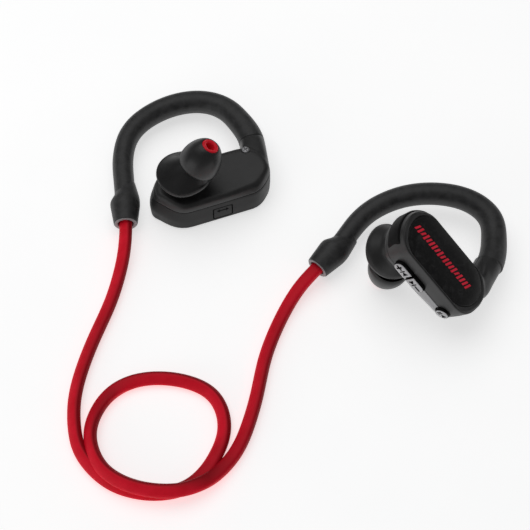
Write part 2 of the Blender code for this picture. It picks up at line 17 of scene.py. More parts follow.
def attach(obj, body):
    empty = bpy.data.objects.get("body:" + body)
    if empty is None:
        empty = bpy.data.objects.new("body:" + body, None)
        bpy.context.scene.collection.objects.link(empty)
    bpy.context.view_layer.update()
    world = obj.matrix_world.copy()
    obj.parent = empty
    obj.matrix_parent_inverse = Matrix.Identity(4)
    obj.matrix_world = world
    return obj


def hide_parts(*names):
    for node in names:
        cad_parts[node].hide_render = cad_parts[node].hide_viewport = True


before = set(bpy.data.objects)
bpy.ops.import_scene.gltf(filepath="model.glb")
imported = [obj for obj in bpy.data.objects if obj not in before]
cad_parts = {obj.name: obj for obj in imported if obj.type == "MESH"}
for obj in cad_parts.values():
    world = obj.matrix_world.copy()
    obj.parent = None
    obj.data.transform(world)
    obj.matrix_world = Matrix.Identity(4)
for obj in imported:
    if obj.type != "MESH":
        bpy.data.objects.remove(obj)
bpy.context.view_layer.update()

MM = 0.001
UP = Vector((0, 0, 1))

# Where the model's origin lies on the table, and where the two units lie.
ORIGIN = Vector((12.69, 18.01, 0.0))
LEFT_PLACE = (-16.47, 23.82, 0.0)
LEFT_HEADING = 19.5
RIGHT_PLACE = (52.1, -12.3, 23.52)
RIGHT_HEADING = -33.0
RIGHT_LEAN = -3.5
RIGHT_PITCH = 39.0

# Housing
HOUSING_LENGTH = 37.6
HOUSING_WIDTH = 16.6
HOUSING_DEPTH = 12.0
END_CENTRE = (HOUSING_LENGTH - HOUSING_WIDTH) / 2
WALL = 1.3
PARTING = 9.2
ARM_MIDDLE = 6.0
SEAM_GAP = 0.04
VOXEL = 0.28
FACE_INSET = 0.5
PLATE_LENGTH = 31.0
PLATE_WIDTH = 14.4
PLATE_SHIFT = Vector((-0.45, -0.4, 0.0))

# Driver pod and ear tip
POD_CENTRE = Vector((-9.2, 0.5, 0.0))
TIP_CENTRE = Vector((-2.6, -0.5, 23.9))
NOZZLE_TILT = math.radians(28.6)
NOZZLE_AXIS = Vector((math.sin(NOZZLE_TILT), 0.0, math.cos(NOZZLE_TILT)))

# Controls and charging port, on the long wall away from the hook gap
WALL_FACE = -HOUSING_WIDTH / 2
WINDOW_LEVEL = 6.93
KEY_LEVEL = 7.05
KEY_HEIGHT = 4.0
VOLUME_CENTRE = -3.5
VOLUME_LENGTH = 12.2
VOLUME_HEIGHT = 4.45
KEY_GAP = 0.3
KEY_SPLIT = 0.6
KEY_PROUD = 1.15
POWER_LEVEL = 6.7
POWER_PROUD = 0.85
POWER_ANGLE = math.radians(8.0)
POWER_RADIUS = 2.1
PORT_CENTRE = 0.9
PORT_LEVEL = 4.3
PORT_WIDTH = 5.7
PORT_HEIGHT = 5.0

# Ear hook: half widths in and across the hook's plane
SEAM_SECTION = (4.0, 4.15)
MID_SECTION = (3.45, 3.7)
END_SECTION = (3.1, 3.35)
HOOK_BORE = 1.2
TAPER_SHARE = 0.3
HOOK_POINTS = 44
FINER = 4
SLEEVE_INTO_GLAND = 4
GLAND_LENGTH = 11.2
GLAND_RADIUS = 4.55
GLAND_RING = 3.55
GLAND_MOUTH = 2.6
GLAND_MOUTH_DEPTH = 2.4
SEAT_GAP = 0.3
CORD_WIDTH = 3.8
CORD_THICKNESS = 2.6

# Hook routes on the table, from the arm's seam to the cord gland.
LEFT_HOOK = [
    (-8.1, 48.9, 5.8), (-11.7, 53.2, 5.7), (-15.9, 55.8, 5.6), (-20.9, 56.9, 5.5),
    (-26.5, 56.4, 5.4), (-31.9, 54.5, 5.3), (-36.6, 51.7, 5.1), (-40.4, 48.1, 5.0),
    (-43.0, 43.6, 4.9), (-44.1, 38.8, 4.8), (-44.3, 33.6, 4.7), (-43.7, 27.6, 4.7),
    (-42.9, 19.9, 4.6), (-42.4, 12.2, 4.6),
]
RIGHT_HOOK = [
    (68.9, 5.9, 6.8), (68.5, 11.0, 7.3), (65.7, 15.3, 7.8), (60.6, 18.4, 8.3),
    (54.8, 19.8, 8.6), (48.8, 20.1, 8.6), (42.8, 19.4, 8.3), (37.3, 17.7, 7.7),
    (32.4, 15.1, 7.0), (28.1, 11.3, 6.2), (24.6, 6.6, 5.5), (20.5, 1.3, 4.9),
    (15.9, -3.4, 4.6),
]

# The cord on the table, from the left gland through one full loop to the right gland.
CORD_ROUTE = [
    (-42.3, 10.2, 4.6), (-42.7, 1.5, 3.5), (-43.8, -4.8, 2.4), (-45.8, -13.2, 1.95),
    (-49.8, -25.0, 1.95), (-52.9, -35.5, 1.95), (-54.5, -45.3, 1.95), (-54.1, -53.7, 1.95),
    (-52.3, -60.6, 1.95), (-48.2, -66.6, 1.95), (-42.6, -71.1, 1.95), (-36.0, -73.5, 1.95),
    (-29.0, -74.0, 1.95), (-22.5, -72.4, 1.95), (-17.3, -68.2, 1.95), (-13.7, -62.4, 1.95),
    (-11.7, -56.2, 1.95), (-12.1, -49.8, 1.95), (-15.3, -44.0, 1.95), (-21.9, -40.2, 1.95),
    (-29.7, -38.8, 1.95), (-37.0, -39.5, 1.95), (-43.3, -42.6, 1.95), (-47.6, -48.5, 2.3),
    (-49.3, -55.4, 3.3), (-48.2, -62.1, 4.5), (-44.7, -68.0, 5.4), (-38.0, -72.4, 6.0),
    (-29.7, -74.3, 6.2), (-22.8, -73.9, 6.1), (-17.2, -71.5, 5.0), (-12.1, -67.0, 2.8),
    (-7.9, -61.1, 2.0), (-4.5, -52.5, 1.95), (-2.2, -43.4, 1.95), (-0.2, -33.3, 1.95),
    (3.0, -23.4, 2.0), (6.8, -15.2, 2.7), (10.8, -9.1, 3.8), (14.1, -5.4, 4.5),
]
CORD_LIE = 1.95
CORD_RINGS = 460

SMOOTH_ANGLE = math.radians(38.0)


# ---------------------------------------------------------------- materials


class Nodes:
    """A material's node tree, with short calls for the nodes used here."""

    def __init__(self, name, **shader_values):
        self.material = bpy.data.materials.new(name)
        self.material.use_nodes = True
        self.tree = self.material.node_tree
        self.shader = self.tree.nodes["Principled BSDF"]
        self.feed(self.shader, shader_values)
        self.place = self.node("TexCoord", "Object")

    def put(self, value, socket):
        """Links a value that comes from another node, or else sets it."""
        if isinstance(value, bpy.types.NodeSocket):
            self.tree.links.new(value, socket)
        else:
            socket.default_value = value

    def feed(self, node, values):
        for name, value in values.items():
            self.put(value, node.inputs[name.replace("_", " ")])

    def node(self, kind, output, **values):
        """Adds a node, feeds its inputs by name, and returns one of its outputs."""
        node = self.tree.nodes.new("ShaderNode" + kind)
        self.feed(node, values)
        return node.outputs[output]

    def noise(self, size_mm, detail=3.0, roughness=0.55, distortion=0.0):
        """Noise whose patches are about size_mm across, from 0 to 1."""
        values = {"Detail": detail, "Roughness": roughness, "Distortion": distortion}
        return self.node("TexNoise", "Fac", Vector=self.place, Scale=1.0 / (size_mm * MM), **values)

    def cells(self, size_mm, output="Distance"):
        return self.node("TexVoronoi", output, Vector=self.place, Scale=1.0 / (size_mm * MM))

    def ramp(self, value, stops):
        """Colours along a value: stops holds (position, (r, g, b))."""
        node = self.tree.nodes.new("ShaderNodeValToRGB")
        while len(node.color_ramp.elements) < len(stops):
            node.color_ramp.elements.new(0.5)
        for element, (position, colour) in zip(node.color_ramp.elements, stops):
            element.position = position
            element.color = (*colour, 1.0)
        self.put(value, node.inputs["Fac"])
        return node.outputs["Color"]

    def span(self, value, low, high, source=(0.3, 0.7)):
        """Takes the source range of a value to the range from low to high."""
        ends = {"From_Min": source[0], "From_Max": source[1], "To_Min": low, "To_Max": high}
        return self.node("MapRange", "Result", Value=value, **ends)

    def total(self, first, second):
        node = self.tree.nodes.new("ShaderNodeMath")
        node.operation = "ADD"
        self.put(first, node.inputs[0])
        self.put(second, node.inputs[1])
        return node.outputs["Value"]

    def blend(self, share, first, colour):
        """Mixes a share of a fixed colour into another."""
        node = self.tree.nodes.new("ShaderNodeMix")
        node.data_type = "RGBA"
        self.put(share, node.inputs["Factor"])
        self.put(first, node.inputs[6])
        self.put((*colour, 1.0), node.inputs[7])
        return node.outputs[2]

    def facing(self, direction, low, high):
        """How far the surface faces a fixed direction: 0 below low, 1 above high."""
        node = self.tree.nodes.new("ShaderNodeVectorMath")
        node.operation = "DOT_PRODUCT"
        self.put(self.node("NewGeometry", "Normal"), node.inputs[0])
        self.put(direction, node.inputs[1])
        return self.span(node.outputs["Value"], 0.0, 1.0, (low, high))

    def bump(self, height, depth_mm, strength=1.0, **under):
        """A fine relief; under may give the Normal that it adds to."""
        distance = depth_mm * MM
        return self.node("Bump", "Normal", Strength=strength, Distance=distance, Height=height, **under)

    def finish(self, colour, roughness, normal=None):
        self.feed(self.shader, {"Base Color": colour, "Roughness": roughness})
        if normal is not None:
            self.put(normal, self.shader.inputs["Normal"])
        return self.material


def grey(level, tint=(1.0, 1.0, 1.03)):
    return tuple(level * t for t in tint)


def darker(colour, share):
    return tuple(c * share for c in colour)


def moulded(name, dark, light, roughness, patch=2.6, grain=0.16, depth=0.012, **shader_values):
    """Moulded plastic or rubber: cloudy tone, fine spark-eroded grain, uneven gloss."""
    nodes = Nodes(name, **shader_values)
    clouds = nodes.noise(patch, 4.0, 0.6, 0.4)
    specks = nodes.noise(grain, 2.0)
    middle = (dark + light) / 2
    tone = nodes.ramp(clouds, [(0.34, grey(dark)), (0.5, grey(middle)), (0.68, grey(light))])
    colour = nodes.blend(nodes.span(specks, 0.0, 0.35), tone, grey(light * 1.15))
    uneven = nodes.span(clouds, roughness - 0.05, roughness + 0.05)
    soft = nodes.bump(nodes.noise(patch * 0.6, 2.0), depth * 2.0, 0.3)
    relief = nodes.bump(specks, depth, 0.5, Normal=soft)
    return nodes.finish(colour, nodes.total(uneven, nodes.span(specks, -0.03, 0.03)), relief)


def plate_material():
    """Near-black plate with faint cloudy flakes under a satin lacquer."""
    nodes = Nodes("plate_gloss", Specular_IOR_Level=0.2, Coat_Weight=0.08, Coat_Roughness=0.3)
    clouds = nodes.noise(2.2, 6.0, 0.62, 1.2)
    flakes = nodes.span(nodes.cells(1.1, "Color"), 0.0, 0.25, (0.4, 1.0))
    tone = nodes.ramp(clouds, [(0.42, grey(0.002)), (0.55, grey(0.006)), (0.68, grey(0.020))])
    colour = nodes.blend(flakes, tone, grey(0.018))
    return nodes.finish(colour, nodes.span(clouds, 0.46, 0.34), nodes.bump(clouds, 0.03, 0.35))


def red_material(name, dark, light, roughness, grain=0.25, painted_shade=False):
    """Red silicone: uneven dye, fine moulding grain and rub marks; painted_shade paints shade on the side
    that faces up and to the right.
    """
    nodes = Nodes(name, Specular_IOR_Level=0.12 if painted_shade else 0.2)
    clouds = nodes.noise(4.5, 3.0, 0.5)
    specks = nodes.noise(grain, 2.0)
    tone = nodes.ramp(clouds, [(0.3, dark), (0.7, light)])
    colour = nodes.blend(nodes.span(specks, 0.0, 0.16), tone, darker(dark, 0.6))
    if painted_shade:
        # Painted shade: the red deepens where the surface faces up and to the right, away from the front
        # left lamp.
        colour = nodes.blend(nodes.facing((0.6, 0.8, 0.0), -0.22, 0.3), colour, darker(dark, 0.4))
    rough = nodes.span(clouds, roughness - 0.06, roughness + 0.06)
    return nodes.finish(colour, rough, nodes.bump(specks, 0.012, 0.35))


def metal_material(name, level, roughness, brushed=0.3):
    nodes = Nodes(name, Metallic=1.0)
    streaks = nodes.noise(brushed, 5.0, 0.7, 2.0)
    colour = nodes.ramp(streaks, [(0.35, grey(level * 0.8)), (0.65, grey(level))])
    rough = nodes.span(streaks, roughness, roughness + 0.14)
    return nodes.finish(colour, rough, nodes.bump(streaks, 0.01, 0.3))


def board_material():
    """Solder mask with faint tracks under it."""
    nodes = Nodes("circuit_board")
    tracks = nodes.cells(0.9)
    greens = [(0.1, (0.01, 0.07, 0.03)), (0.4, (0.02, 0.13, 0.05)), (0.6, (0.05, 0.2, 0.07))]
    rough = nodes.span(tracks, 0.3, 0.5)
    return nodes.finish(nodes.ramp(tracks, greens), rough, nodes.bump(tracks, 0.03, 0.4))


def film_material():
    nodes = Nodes("driver_film")
    rings = nodes.noise(0.5, 3.0)
    colour = nodes.ramp(rings, [(0.3, (0.35, 0.3, 0.18)), (0.7, (0.6, 0.54, 0.36))])
    return nodes.finish(colour, nodes.span(rings, 0.25, 0.4), nodes.bump(rings, 0.03, 0.4))


def floor_material():
    """Pale, faintly uneven table."""
    nodes = Nodes("pale_table", Emission_Color=(1.0, 1.0, 1.0, 1.0), Emission_Strength=0.58)
    tone = nodes.ramp(nodes.noise(60.0, 3.0), [(0.3, (0.86, 0.865, 0.87)), (0.7, (0.89, 0.89, 0.89))])
    return nodes.finish(tone, nodes.span(nodes.noise(25.0, 2.0), 0.55, 0.7))


def make_materials():
    return {
        "housing": moulded("housing_plastic", 0.007, 0.017, 0.42),
        # Painted shade: a darker, duller copy of the housing plastic, standing in for the shade on the left
        # unit's tub and port flap.
        "tub": moulded("tub_plastic_painted_shade", 0.005, 0.012, 0.46, Specular_IOR_Level=0.22),
        "gloss": moulded("pod_gloss", 0.006, 0.009, 0.42, 5.0, 0.2, 0.004, Specular_IOR_Level=0.5),
        "pod": moulded("pod_plastic", 0.009, 0.014, 0.34, 5.0, 0.2, 0.006, Specular_IOR_Level=0.3),
        "plate": plate_material(),
        "rim": moulded("rim_plastic", 0.014, 0.024, 0.4, 3.0),
        "panel": moulded("panel_rubber", 0.002, 0.004, 0.6, 2.0, Specular_IOR_Level=0.12),
        "rubber": moulded("hook_rubber", 0.006, 0.036, 0.5, 2.4, 0.2, 0.016),
        "tip": moulded("tip_silicone", 0.0065, 0.009, 0.38, 5.0, 0.3, 0.004),
        "ring": moulded("gland_ring", 0.22, 0.30, 0.45),
        # Painted reflection: the strip's light grey stands partly for a grey trim and partly for the pale
        # table's reflection on the control wall.
        "strip": moulded("grey_strip_and_painted_reflection", 0.30, 0.38, 0.36, 3.0),
        "key": moulded("key_plastic", 0.42, 0.52, 0.38, 2.4),
        "ink": moulded("dark_ink", 0.001, 0.002, 0.6, Specular_IOR_Level=0.03),
        "core": red_material("red_silicone", (0.90, 0.012, 0.03), (0.98, 0.02, 0.045), 0.42),
        # The cord's red carries painted shade on the side that faces up and to the right.
        "cord": red_material("cord_jacket", (0.86, 0.008, 0.026), (1.0, 0.013, 0.04), 0.45, painted_shade=True),
        "paint": red_material("red_paint", (0.90, 0.02, 0.05), (0.98, 0.03, 0.07), 0.4, 0.3),
        "steel": metal_material("steel", 0.34, 0.36),
        "foil": metal_material("battery_foil", 0.7, 0.3, 1.5),
        "board": board_material(),
        "chip": moulded("black_resin", 0.012, 0.02, 0.5, 1.2),
        "film": film_material(),
    }


# ---------------------------------------------------------------- mesh building


def loft_data(rings, ring_shaped=False):
    """Points and faces that skin a row of equal rings, capped unless the last ring meets the first."""
    count = len(rings[0])
    points = [tuple(p) for ring in rings for p in ring]
    starts = [i * count for i in range(len(rings))]
    pairs = list(zip(starts, starts[1:]))
    if ring_shaped:
        pairs.append((starts[-1], 0))
    faces = []
    for low, high in pairs:
        for i in range(count):
            j = (i + 1) % count
            faces.append((low + i, low + j, high + j, high + i))
    if not ring_shaped:
        faces.append(tuple(range(count)))
        faces.append(tuple(range(starts[-1], starts[-1] + count)))
    return points, faces


def merged(*parts):
    """Several (points, faces) as one."""
    points, faces = [], []
    for more_points, more_faces in parts:
        start = len(points)
        points += list(more_points)
        faces += [tuple(start + i for i in face) for face in more_faces]
    return points, faces


def mesh_object(name, data):
    """An object from (points, faces), with its faces turned outward."""
    points, faces = data
    mesh = bpy.data.meshes.new(name)
    mesh.from_pydata([tuple(p) for p in points], [], faces)
    bm = bmesh.new()
    bm.from_mesh(mesh)
    bmesh.ops.recalc_face_normals(bm, faces=bm.faces)
    bm.to_mesh(mesh)
    bm.free()
    obj = bpy.data.objects.new(name, mesh)
    bpy.context.scene.collection.objects.link(obj)
    return obj


def applied(obj):
    """Applies an object's modifiers and leaves its final mesh on it."""
    graph = bpy.context.evaluated_depsgraph_get()
    mesh = bpy.data.meshes.new_from_object(obj.evaluated_get(graph))
    obj.modifiers.clear()
    old = obj.data
    obj.data = mesh
    bpy.data.meshes.remove(old)
    return obj


def boolean(obj, tool_data, operation="DIFFERENCE"):
    """Cuts or keeps with a tool that is given as (points, faces)."""
    tool = mesh_object("tool", tool_data)
    modifier = obj.modifiers.new("cut", "BOOLEAN")
    modifier.operation = operation
    modifier.object = tool
    modifier.solver = "EXACT"
    applied(obj)
    bpy.data.objects.remove(tool)
    return obj


def copy_of(obj, name):
    other = obj.copy()
    other.data = obj.data.copy()
    other.name = name
    bpy.context.scene.collection.objects.link(other)
    return other


def place_piece(obj, matrix, material, body, replaces=()):
    """Takes a piece from millimetres to its place in metres, and sets what it stands for."""
    full = Matrix.Scale(MM, 4) @ matrix
    obj.data.transform(full)
    if full.determinant() < 0:
        obj.data.flip_normals()
    obj.data.shade_smooth()
    obj.data.set_sharp_from_angle(angle=SMOOTH_ANGLE)
    obj.data.materials.clear()
    obj.data.materials.append(material)
    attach(obj, body)
    if replaces:
        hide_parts(*replaces)
    return obj


# ---------------------------------------------------------------- outlines and profiles


def fillet(points, radius, steps=5):
    """A polyline with each inner corner rounded off."""
    rounded = [Vector(points[0])]
    for before, corner, after in zip(points, points[1:], points[2:]):
        corner = Vector(corner)
        back, ahead = Vector(before) - corner, Vector(after) - corner
        reach = min(radius, back.length * 0.45, ahead.length * 0.45)
        start, end = corner + back.normalized() * reach, corner + ahead.normalized() * reach
        for i in range(steps + 1):
            t = i / steps
            rounded.append(start * (1 - t) ** 2 + corner * 2 * t * (1 - t) + end * t**2)
    rounded.append(Vector(points[-1]))
    return [tuple(p) for p in rounded]


def spline_profile(points, count):
    """Evenly spaced points on a smooth curve through a profile's points."""
    lifted = [(x, y, 0.0) for x, y in points]
    return [(p.x, p.y) for p in smooth_curve(lifted, count)]


def stadium(length, width, w):
    """A ring with straight sides and round ends."""
    radius, segments = width / 2, 40
    reach = length / 2 - radius
    ring = []
    for end in (1, -1):
        for i in range(segments + 1):
            angle = math.pi * (i / segments - 0.5) + (0 if end > 0 else math.pi)
            ring.append(Vector((end * reach + radius * math.cos(angle), radius * math.sin(angle), w)))
    return ring


def housing_ring(inset, w):
    return stadium(HOUSING_LENGTH - 2 * inset, HOUSING_WIDTH - 2 * inset, w)


def turned(profile, centre, axis, segments=72, hollow=True):
    """A turned shape: the profile holds (radius, height along the axis)."""
    side = axis.orthogonal().normalized()
    turn = axis.cross(side)
    rings = []
    for radius, height in profile:
        frame_at = (centre + axis * height, side, turn)
        rings.append(section_ring(frame_at, oval(radius, radius, segments)))
    return loft_data(rings, ring_shaped=hollow)


def smooth_curve(points, count):
    """Evenly spaced points on the natural cubic spline through the given points."""
    knots = np.array([tuple(point) for point in points])
    steps = np.linalg.norm(np.diff(knots, axis=0), axis=1)
    times = np.concatenate([[0.0], np.cumsum(steps)])
    size = len(knots)
    matrix = np.eye(size)
    right = np.zeros((size, 3))
    for i in range(1, size - 1):
        before, after = steps[i - 1], steps[i]
        matrix[i, i - 1 : i + 2] = (before, 2 * (before + after), after)
        right[i] = 6 * ((knots[i + 1] - knots[i]) / after - (knots[i] - knots[i - 1]) / before)
    bends = np.linalg.solve(matrix, right)
    fine = np.linspace(0.0, times[-1], 20 * size)
    index = np.clip(np.searchsorted(times, fine) - 1, 0, size - 2)
    span = steps[index][:, None]
    a = (times[index + 1] - fine)[:, None]
    b = (fine - times[index])[:, None]
    curve = (
        (bends[index] * a**3 + bends[index + 1] * b**3) / (6 * span)
        + (knots[index] / span - bends[index] * span / 6) * a
        + (knots[index + 1] / span - bends[index + 1] * span / 6) * b
    )
    along = np.concatenate([[0.0], np.cumsum(np.linalg.norm(np.diff(curve, axis=0), axis=1))])
    even = np.linspace(0.0, along[-1], count)
    return [Vector([np.interp(at, along, curve[:, k]) for k in range(3)]) for at in even]


def tangents(path):
    found = []
    for i in range(len(path)):
        found.append((path[min(i + 1, len(path) - 1)] - path[max(i - 1, 0)]).normalized())
    return found


def path_frames(path, normals):
    """(point, side, across) at each point: the two directions that its section lies along."""
    frames = []
    for point, tangent, normal in zip(path, tangents(path), normals):
        side = tangent.cross(normal).normalized()
        frames.append((point, side, side.cross(tangent)))
    return frames


def oval(wide, deep, segments, power=2.0):
    """(x, y) offsets of a superellipse: power 2 is an oval, and more is boxier."""
    offsets = []
    for i in range(segments):
        angle = 2 * math.pi * i / segments
        c, s = math.cos(angle), math.sin(angle)
        x = math.copysign(abs(c) ** (2 / power), c) * wide
        y = math.copysign(abs(s) ** (2 / power), s) * deep
        offsets.append((x, y))
    return offsets


def section_ring(frame_at, offsets):
    point, side, across = frame_at
    return [point + side * x + across * y for x, y in offsets]


def mix(first, second, share):
    return tuple(a + (b - a) * share for a, b in zip(first, second))


def smoothstep(low, high, value):
    t = min(max((value - low) / (high - low), 0.0), 1.0)
    return t * t * (3 - 2 * t)


# ---------------------------------------------------------------- one unit


class Unit:
    """One ear-hook unit's visible pieces. The values below are the left unit's."""

    # The left unit's tub and port flap take the tub plastic, which paints shade on them; the right unit's
    # tub takes the housing plastic.
    tub = "tub"
    # In mm, how far the free end is drawn in, swells again on its upper side and lifts below.
    end_pull = 0.3
    end_bulge = 1.1
    end_lift = 1.25
    # How far the hook end is trimmed, over which span of v, and how far the hook-gap side is.
    hook_trim = 0.7
    trim_span = (-1.0, -6.5)
    side_trim = 0.0
    # How much thicker the hook's root is, on its inner and its outer side.
    root_fill = 0.0
    root_swell = 0.0
    # The arm's centre line and its two edges, from the housing to the hook's seam.
    arm_route = [(12.6, 2.2, 6.0), (15.2, 5.6, 6.0), (16.8, 9.4, 6.0), (17.4, 13.2, 6.0)]
    arm_inner = [(7.0, -0.5, 6.0), (10.4, 4.6, 6.0), (12.5, 8.8, 6.0), (13.2, 11.2, 6.0)]
    arm_outer = [(17.6, -4.2, 6.0), (18.95, 0.2, 6.0), (19.9, 4.6, 6.0), (20.8, 8.8, 6.0)]
    seam_back = 4
    pod_centre = POD_CENTRE
    tip_centre = TIP_CENTRE
    screw_centre = Vector((13.3, 6.3, 0.0))

    def __init__(self, side, matrix, hook_route, materials):
        self.side = side
        self.materials = materials
        self.matrix = Matrix.Translation(-ORIGIN) @ matrix
        root = [self.matrix @ Vector(point) for point in self.arm_route]
        hook = [Vector(point) - ORIGIN for point in hook_route]
        coarse = smooth_curve(root + hook, HOOK_POINTS)
        self.path = smooth_curve(root + hook, (HOOK_POINTS - 1) * FINER + 1)
        last = len(self.path) - 1
        seam = min(range(HOOK_POINTS), key=lambda i: (coarse[i] - root[-1]).length)
        length = sum((b - a).length for a, b in zip(coarse, coarse[1:]))
        self.seam = seam * FINER - self.seam_back
        self.gland = (HOOK_POINTS - 1 - round(GLAND_LENGTH / length * (HOOK_POINTS - 1))) * FINER
        root_normal = (self.matrix.to_3x3() @ UP).normalized()
        table_normal = Vector((0, 0, 1 if root_normal.z > 0 else -1))
        normals = [root_normal.lerp(table_normal, (i / last) ** 0.7) for i in range(last + 1)]
        self.frames = path_frames(self.path, normals)
        start, end = self.path[self.gland], self.path[last]
        self.gland_axis = (end - start).normalized()
        self.gland_start, self.gland_end = start, end
        self.cord_seat = end - self.gland_axis * (GLAND_MOUTH_DEPTH - SEAT_GAP)

    def name(self, piece):
        return f"{self.side}_{piece}"

    def add(self, piece, data, material, replaces=(), body="units", local=True):
        """Makes a piece from (points, faces) or an object, in this unit's frame or the table's."""
        obj = mesh_object(self.name(piece), data) if isinstance(data, tuple) else data
        matrix = self.matrix if local else Matrix.Identity(4)
        place_piece(obj, matrix, self.materials[material], body, [self.name(node) for node in replaces])

    def build(self):
        self.build_shells()
        self.build_plate()
        self.build_seal()
        self.build_screw()
        self.build_sleeve()
        self.build_gland()
        self.build_pod()
        self.build_tip()

    # ---- housing

    def shaped(self, point):
        """Where a point of the plain housing lies: the free end and the faces are eased inward."""
        u, v, w = point
        free_end = smoothstep(-8.0, -18.8, u)
        pulled = u + free_end * (self.end_pull + 1.7 * smoothstep(4.0, 12.0, w))
        pulled -= free_end * self.end_bulge * smoothstep(-4.0, 1.0, v)
        pulled -= self.hook_trim * smoothstep(9.0, 17.0, u) * smoothstep(*self.trim_span, v)
        v += self.end_lift * free_end * smoothstep(0.0, -6.0, v) - self.side_cut(v)
        outer_face = smoothstep(4.0, 0.0, w) * smoothstep(-3.0, 8.0, v)
        wall_end = smoothstep(2.0, 12.0, u) * smoothstep(8.0, 12.0, w) * smoothstep(0.0, -6.0, v)
        return Vector((pulled, v - 0.9 * outer_face + 0.7 * wall_end, w))

    def side_cut(self, v):
        return self.side_trim * smoothstep(2.0, 6.5, v)

    def shaped_ring(self, inset, w):
        return [self.shaped(point) for point in housing_ring(inset, w)]

    def arm_solid(self):
        """The arm's root: sections that grow out of the housing's end and reach the hook's seam."""
        inverse = self.matrix.inverted()
        turn = inverse.to_3x3()
        point, side, across = self.frames[self.seam]
        centre, side, across = inverse @ point, turn @ side, turn @ across
        if across.z < 0:
            across = -across
        if side.x < 0:
            side = -side
        ahead = (centre - inverse @ self.path[self.seam - 1]).normalized()
        inner_end = centre - side * (SEAM_SECTION[0] + self.root_fill)
        outer_end = centre + side * (SEAM_SECTION[0] + self.root_swell)
        over = ahead * 1.2
        inner = self.arm_inner + [inner_end, inner_end + over]
        outer = self.arm_outer + [outer_end, outer_end + over]
        count = 26
        depths = [(5.9, 5.2), (5.75, 4.6), (5.3, 3.6), (4.6, 2.7)] + [(SEAM_SECTION[1], 2.15)] * 2
        rings = []
        for i in range(count):
            place = i / (count - 1) * (len(inner) - 1)
            low = min(int(place), len(inner) - 2)
            depth, power = mix(depths[low], depths[low + 1], place - low)
            a, b = spline_at(inner, place), spline_at(outer, place)
            up = UP.lerp(across, smoothstep(2.0, 4.0, place))
            frame_at = ((a + b) / 2, (b - a).normalized(), up)
            rings.append(section_ring(frame_at, oval((b - a).length / 2, depth, 48, power)))
        return loft_data(rings), (centre, ahead)

    def fused_solid(self):
        """Housing and arm as one smooth closed solid, in the unit's frame."""
        profile = fillet(
            [
                (4.0, 0.3), (0.3, 0.3), (0.14, 0.6), (0.0, 4.0), (0.0, 4.9),
                (0.05, 9.4), (0.35, 11.2), (1.5, HOUSING_DEPTH), (4.0, HOUSING_DEPTH),
            ],
            0.7, 4,
        )
        housing = loft_data([housing_ring(inset, w) for inset, w in profile])
        arm, seam = self.arm_solid()
        obj = mesh_object("fused", merged(housing, arm))
        remesh = obj.modifiers.new("fuse", "REMESH")
        remesh.mode = "VOXEL"
        remesh.voxel_size = VOXEL
        applied(obj)
        self.relax(obj)
        for vert in obj.data.vertices:
            vert.co = self.shaped(vert.co)
        centre, ahead = seam
        return boolean(obj, turned([(7.0, 0.0), (7.0, 4.0)], centre, ahead, 12, hollow=False))

    def relax(self, obj):
        """Smooths the fused skin: a little everywhere, and more where the arm leaves the housing."""
        points = np.array([vert.co[:] for vert in obj.data.vertices])
        edges = np.array([edge.vertices[:] for edge in obj.data.edges])
        ends, others = np.concatenate([edges, edges[:, ::-1]]).T
        count = np.bincount(ends)[:, None]
        roots = np.array([[12.4, 8.2], [19.2, 1.5], [14.0, 3.5], [17.5, 3.0]])
        distance = np.linalg.norm(points[:, None, :2] - roots[None], axis=2).min(1)
        local = np.clip(1.15 - distance / 4.6, 0.0, 1.0)[:, None]
        rounds = int(round(14 * (0.28 / VOXEL) ** 2)) + 4
        for turn in range(rounds):
            total = np.stack([np.bincount(ends, points[others, k]) for k in range(3)], 1)
            points += (total / count - points) * 0.5 * (1.0 if turn < 2 else local)
        obj.data.vertices.foreach_set("co", points.ravel())
        obj.data.update()

    @staticmethod
    def parting_level(u, v):
        """The parting surface drops from the housing's rim to the arm's middle."""
        along = smoothstep(3.5, 12.0, v) * smoothstep(9.0, 14.0, u + 0.3 * v)
        return PARTING + (ARM_MIDDLE - PARTING) * along

    def parting_block(self, above):
        """Everything on one side of the parting surface, as a block to cut away."""
        shift, far = (SEAM_GAP, -30.0) if above else (-SEAM_GAP, 30.0)
        columns, rows, step = 62, 38, 0.75
        rings = []
        for i in range(columns):
            u = -22.0 + i * step
            line = [-11.5 + j * step for j in range(rows)]
            surface = [(u, v, self.parting_level(u, v) + shift) for v in line]
            rings.append(surface + [(u, v, far) for v in reversed(line)])
        return loft_data(rings)

    def parted(self, solid, name, above):
        """One half of the shell, its cut edge eased to leave a fine groove."""
        half = copy_of(solid, name)
        boolean(half, self.parting_block(above))
        edge = SEAM_GAP if above else -SEAM_GAP
        bm = bmesh.new()
        bm.from_mesh(half.data)
        bm.normal_update()
        eased = []
        for vert in bm.verts:
            if abs(vert.co.z - self.parting_level(vert.co.x, vert.co.y) - edge) < 0.03:
                eased.append((vert, vert.co - vert.normal * 0.06))
        for vert, spot in eased:
            vert.co = spot
        bm.to_mesh(half.data)
        bm.free()
        return half

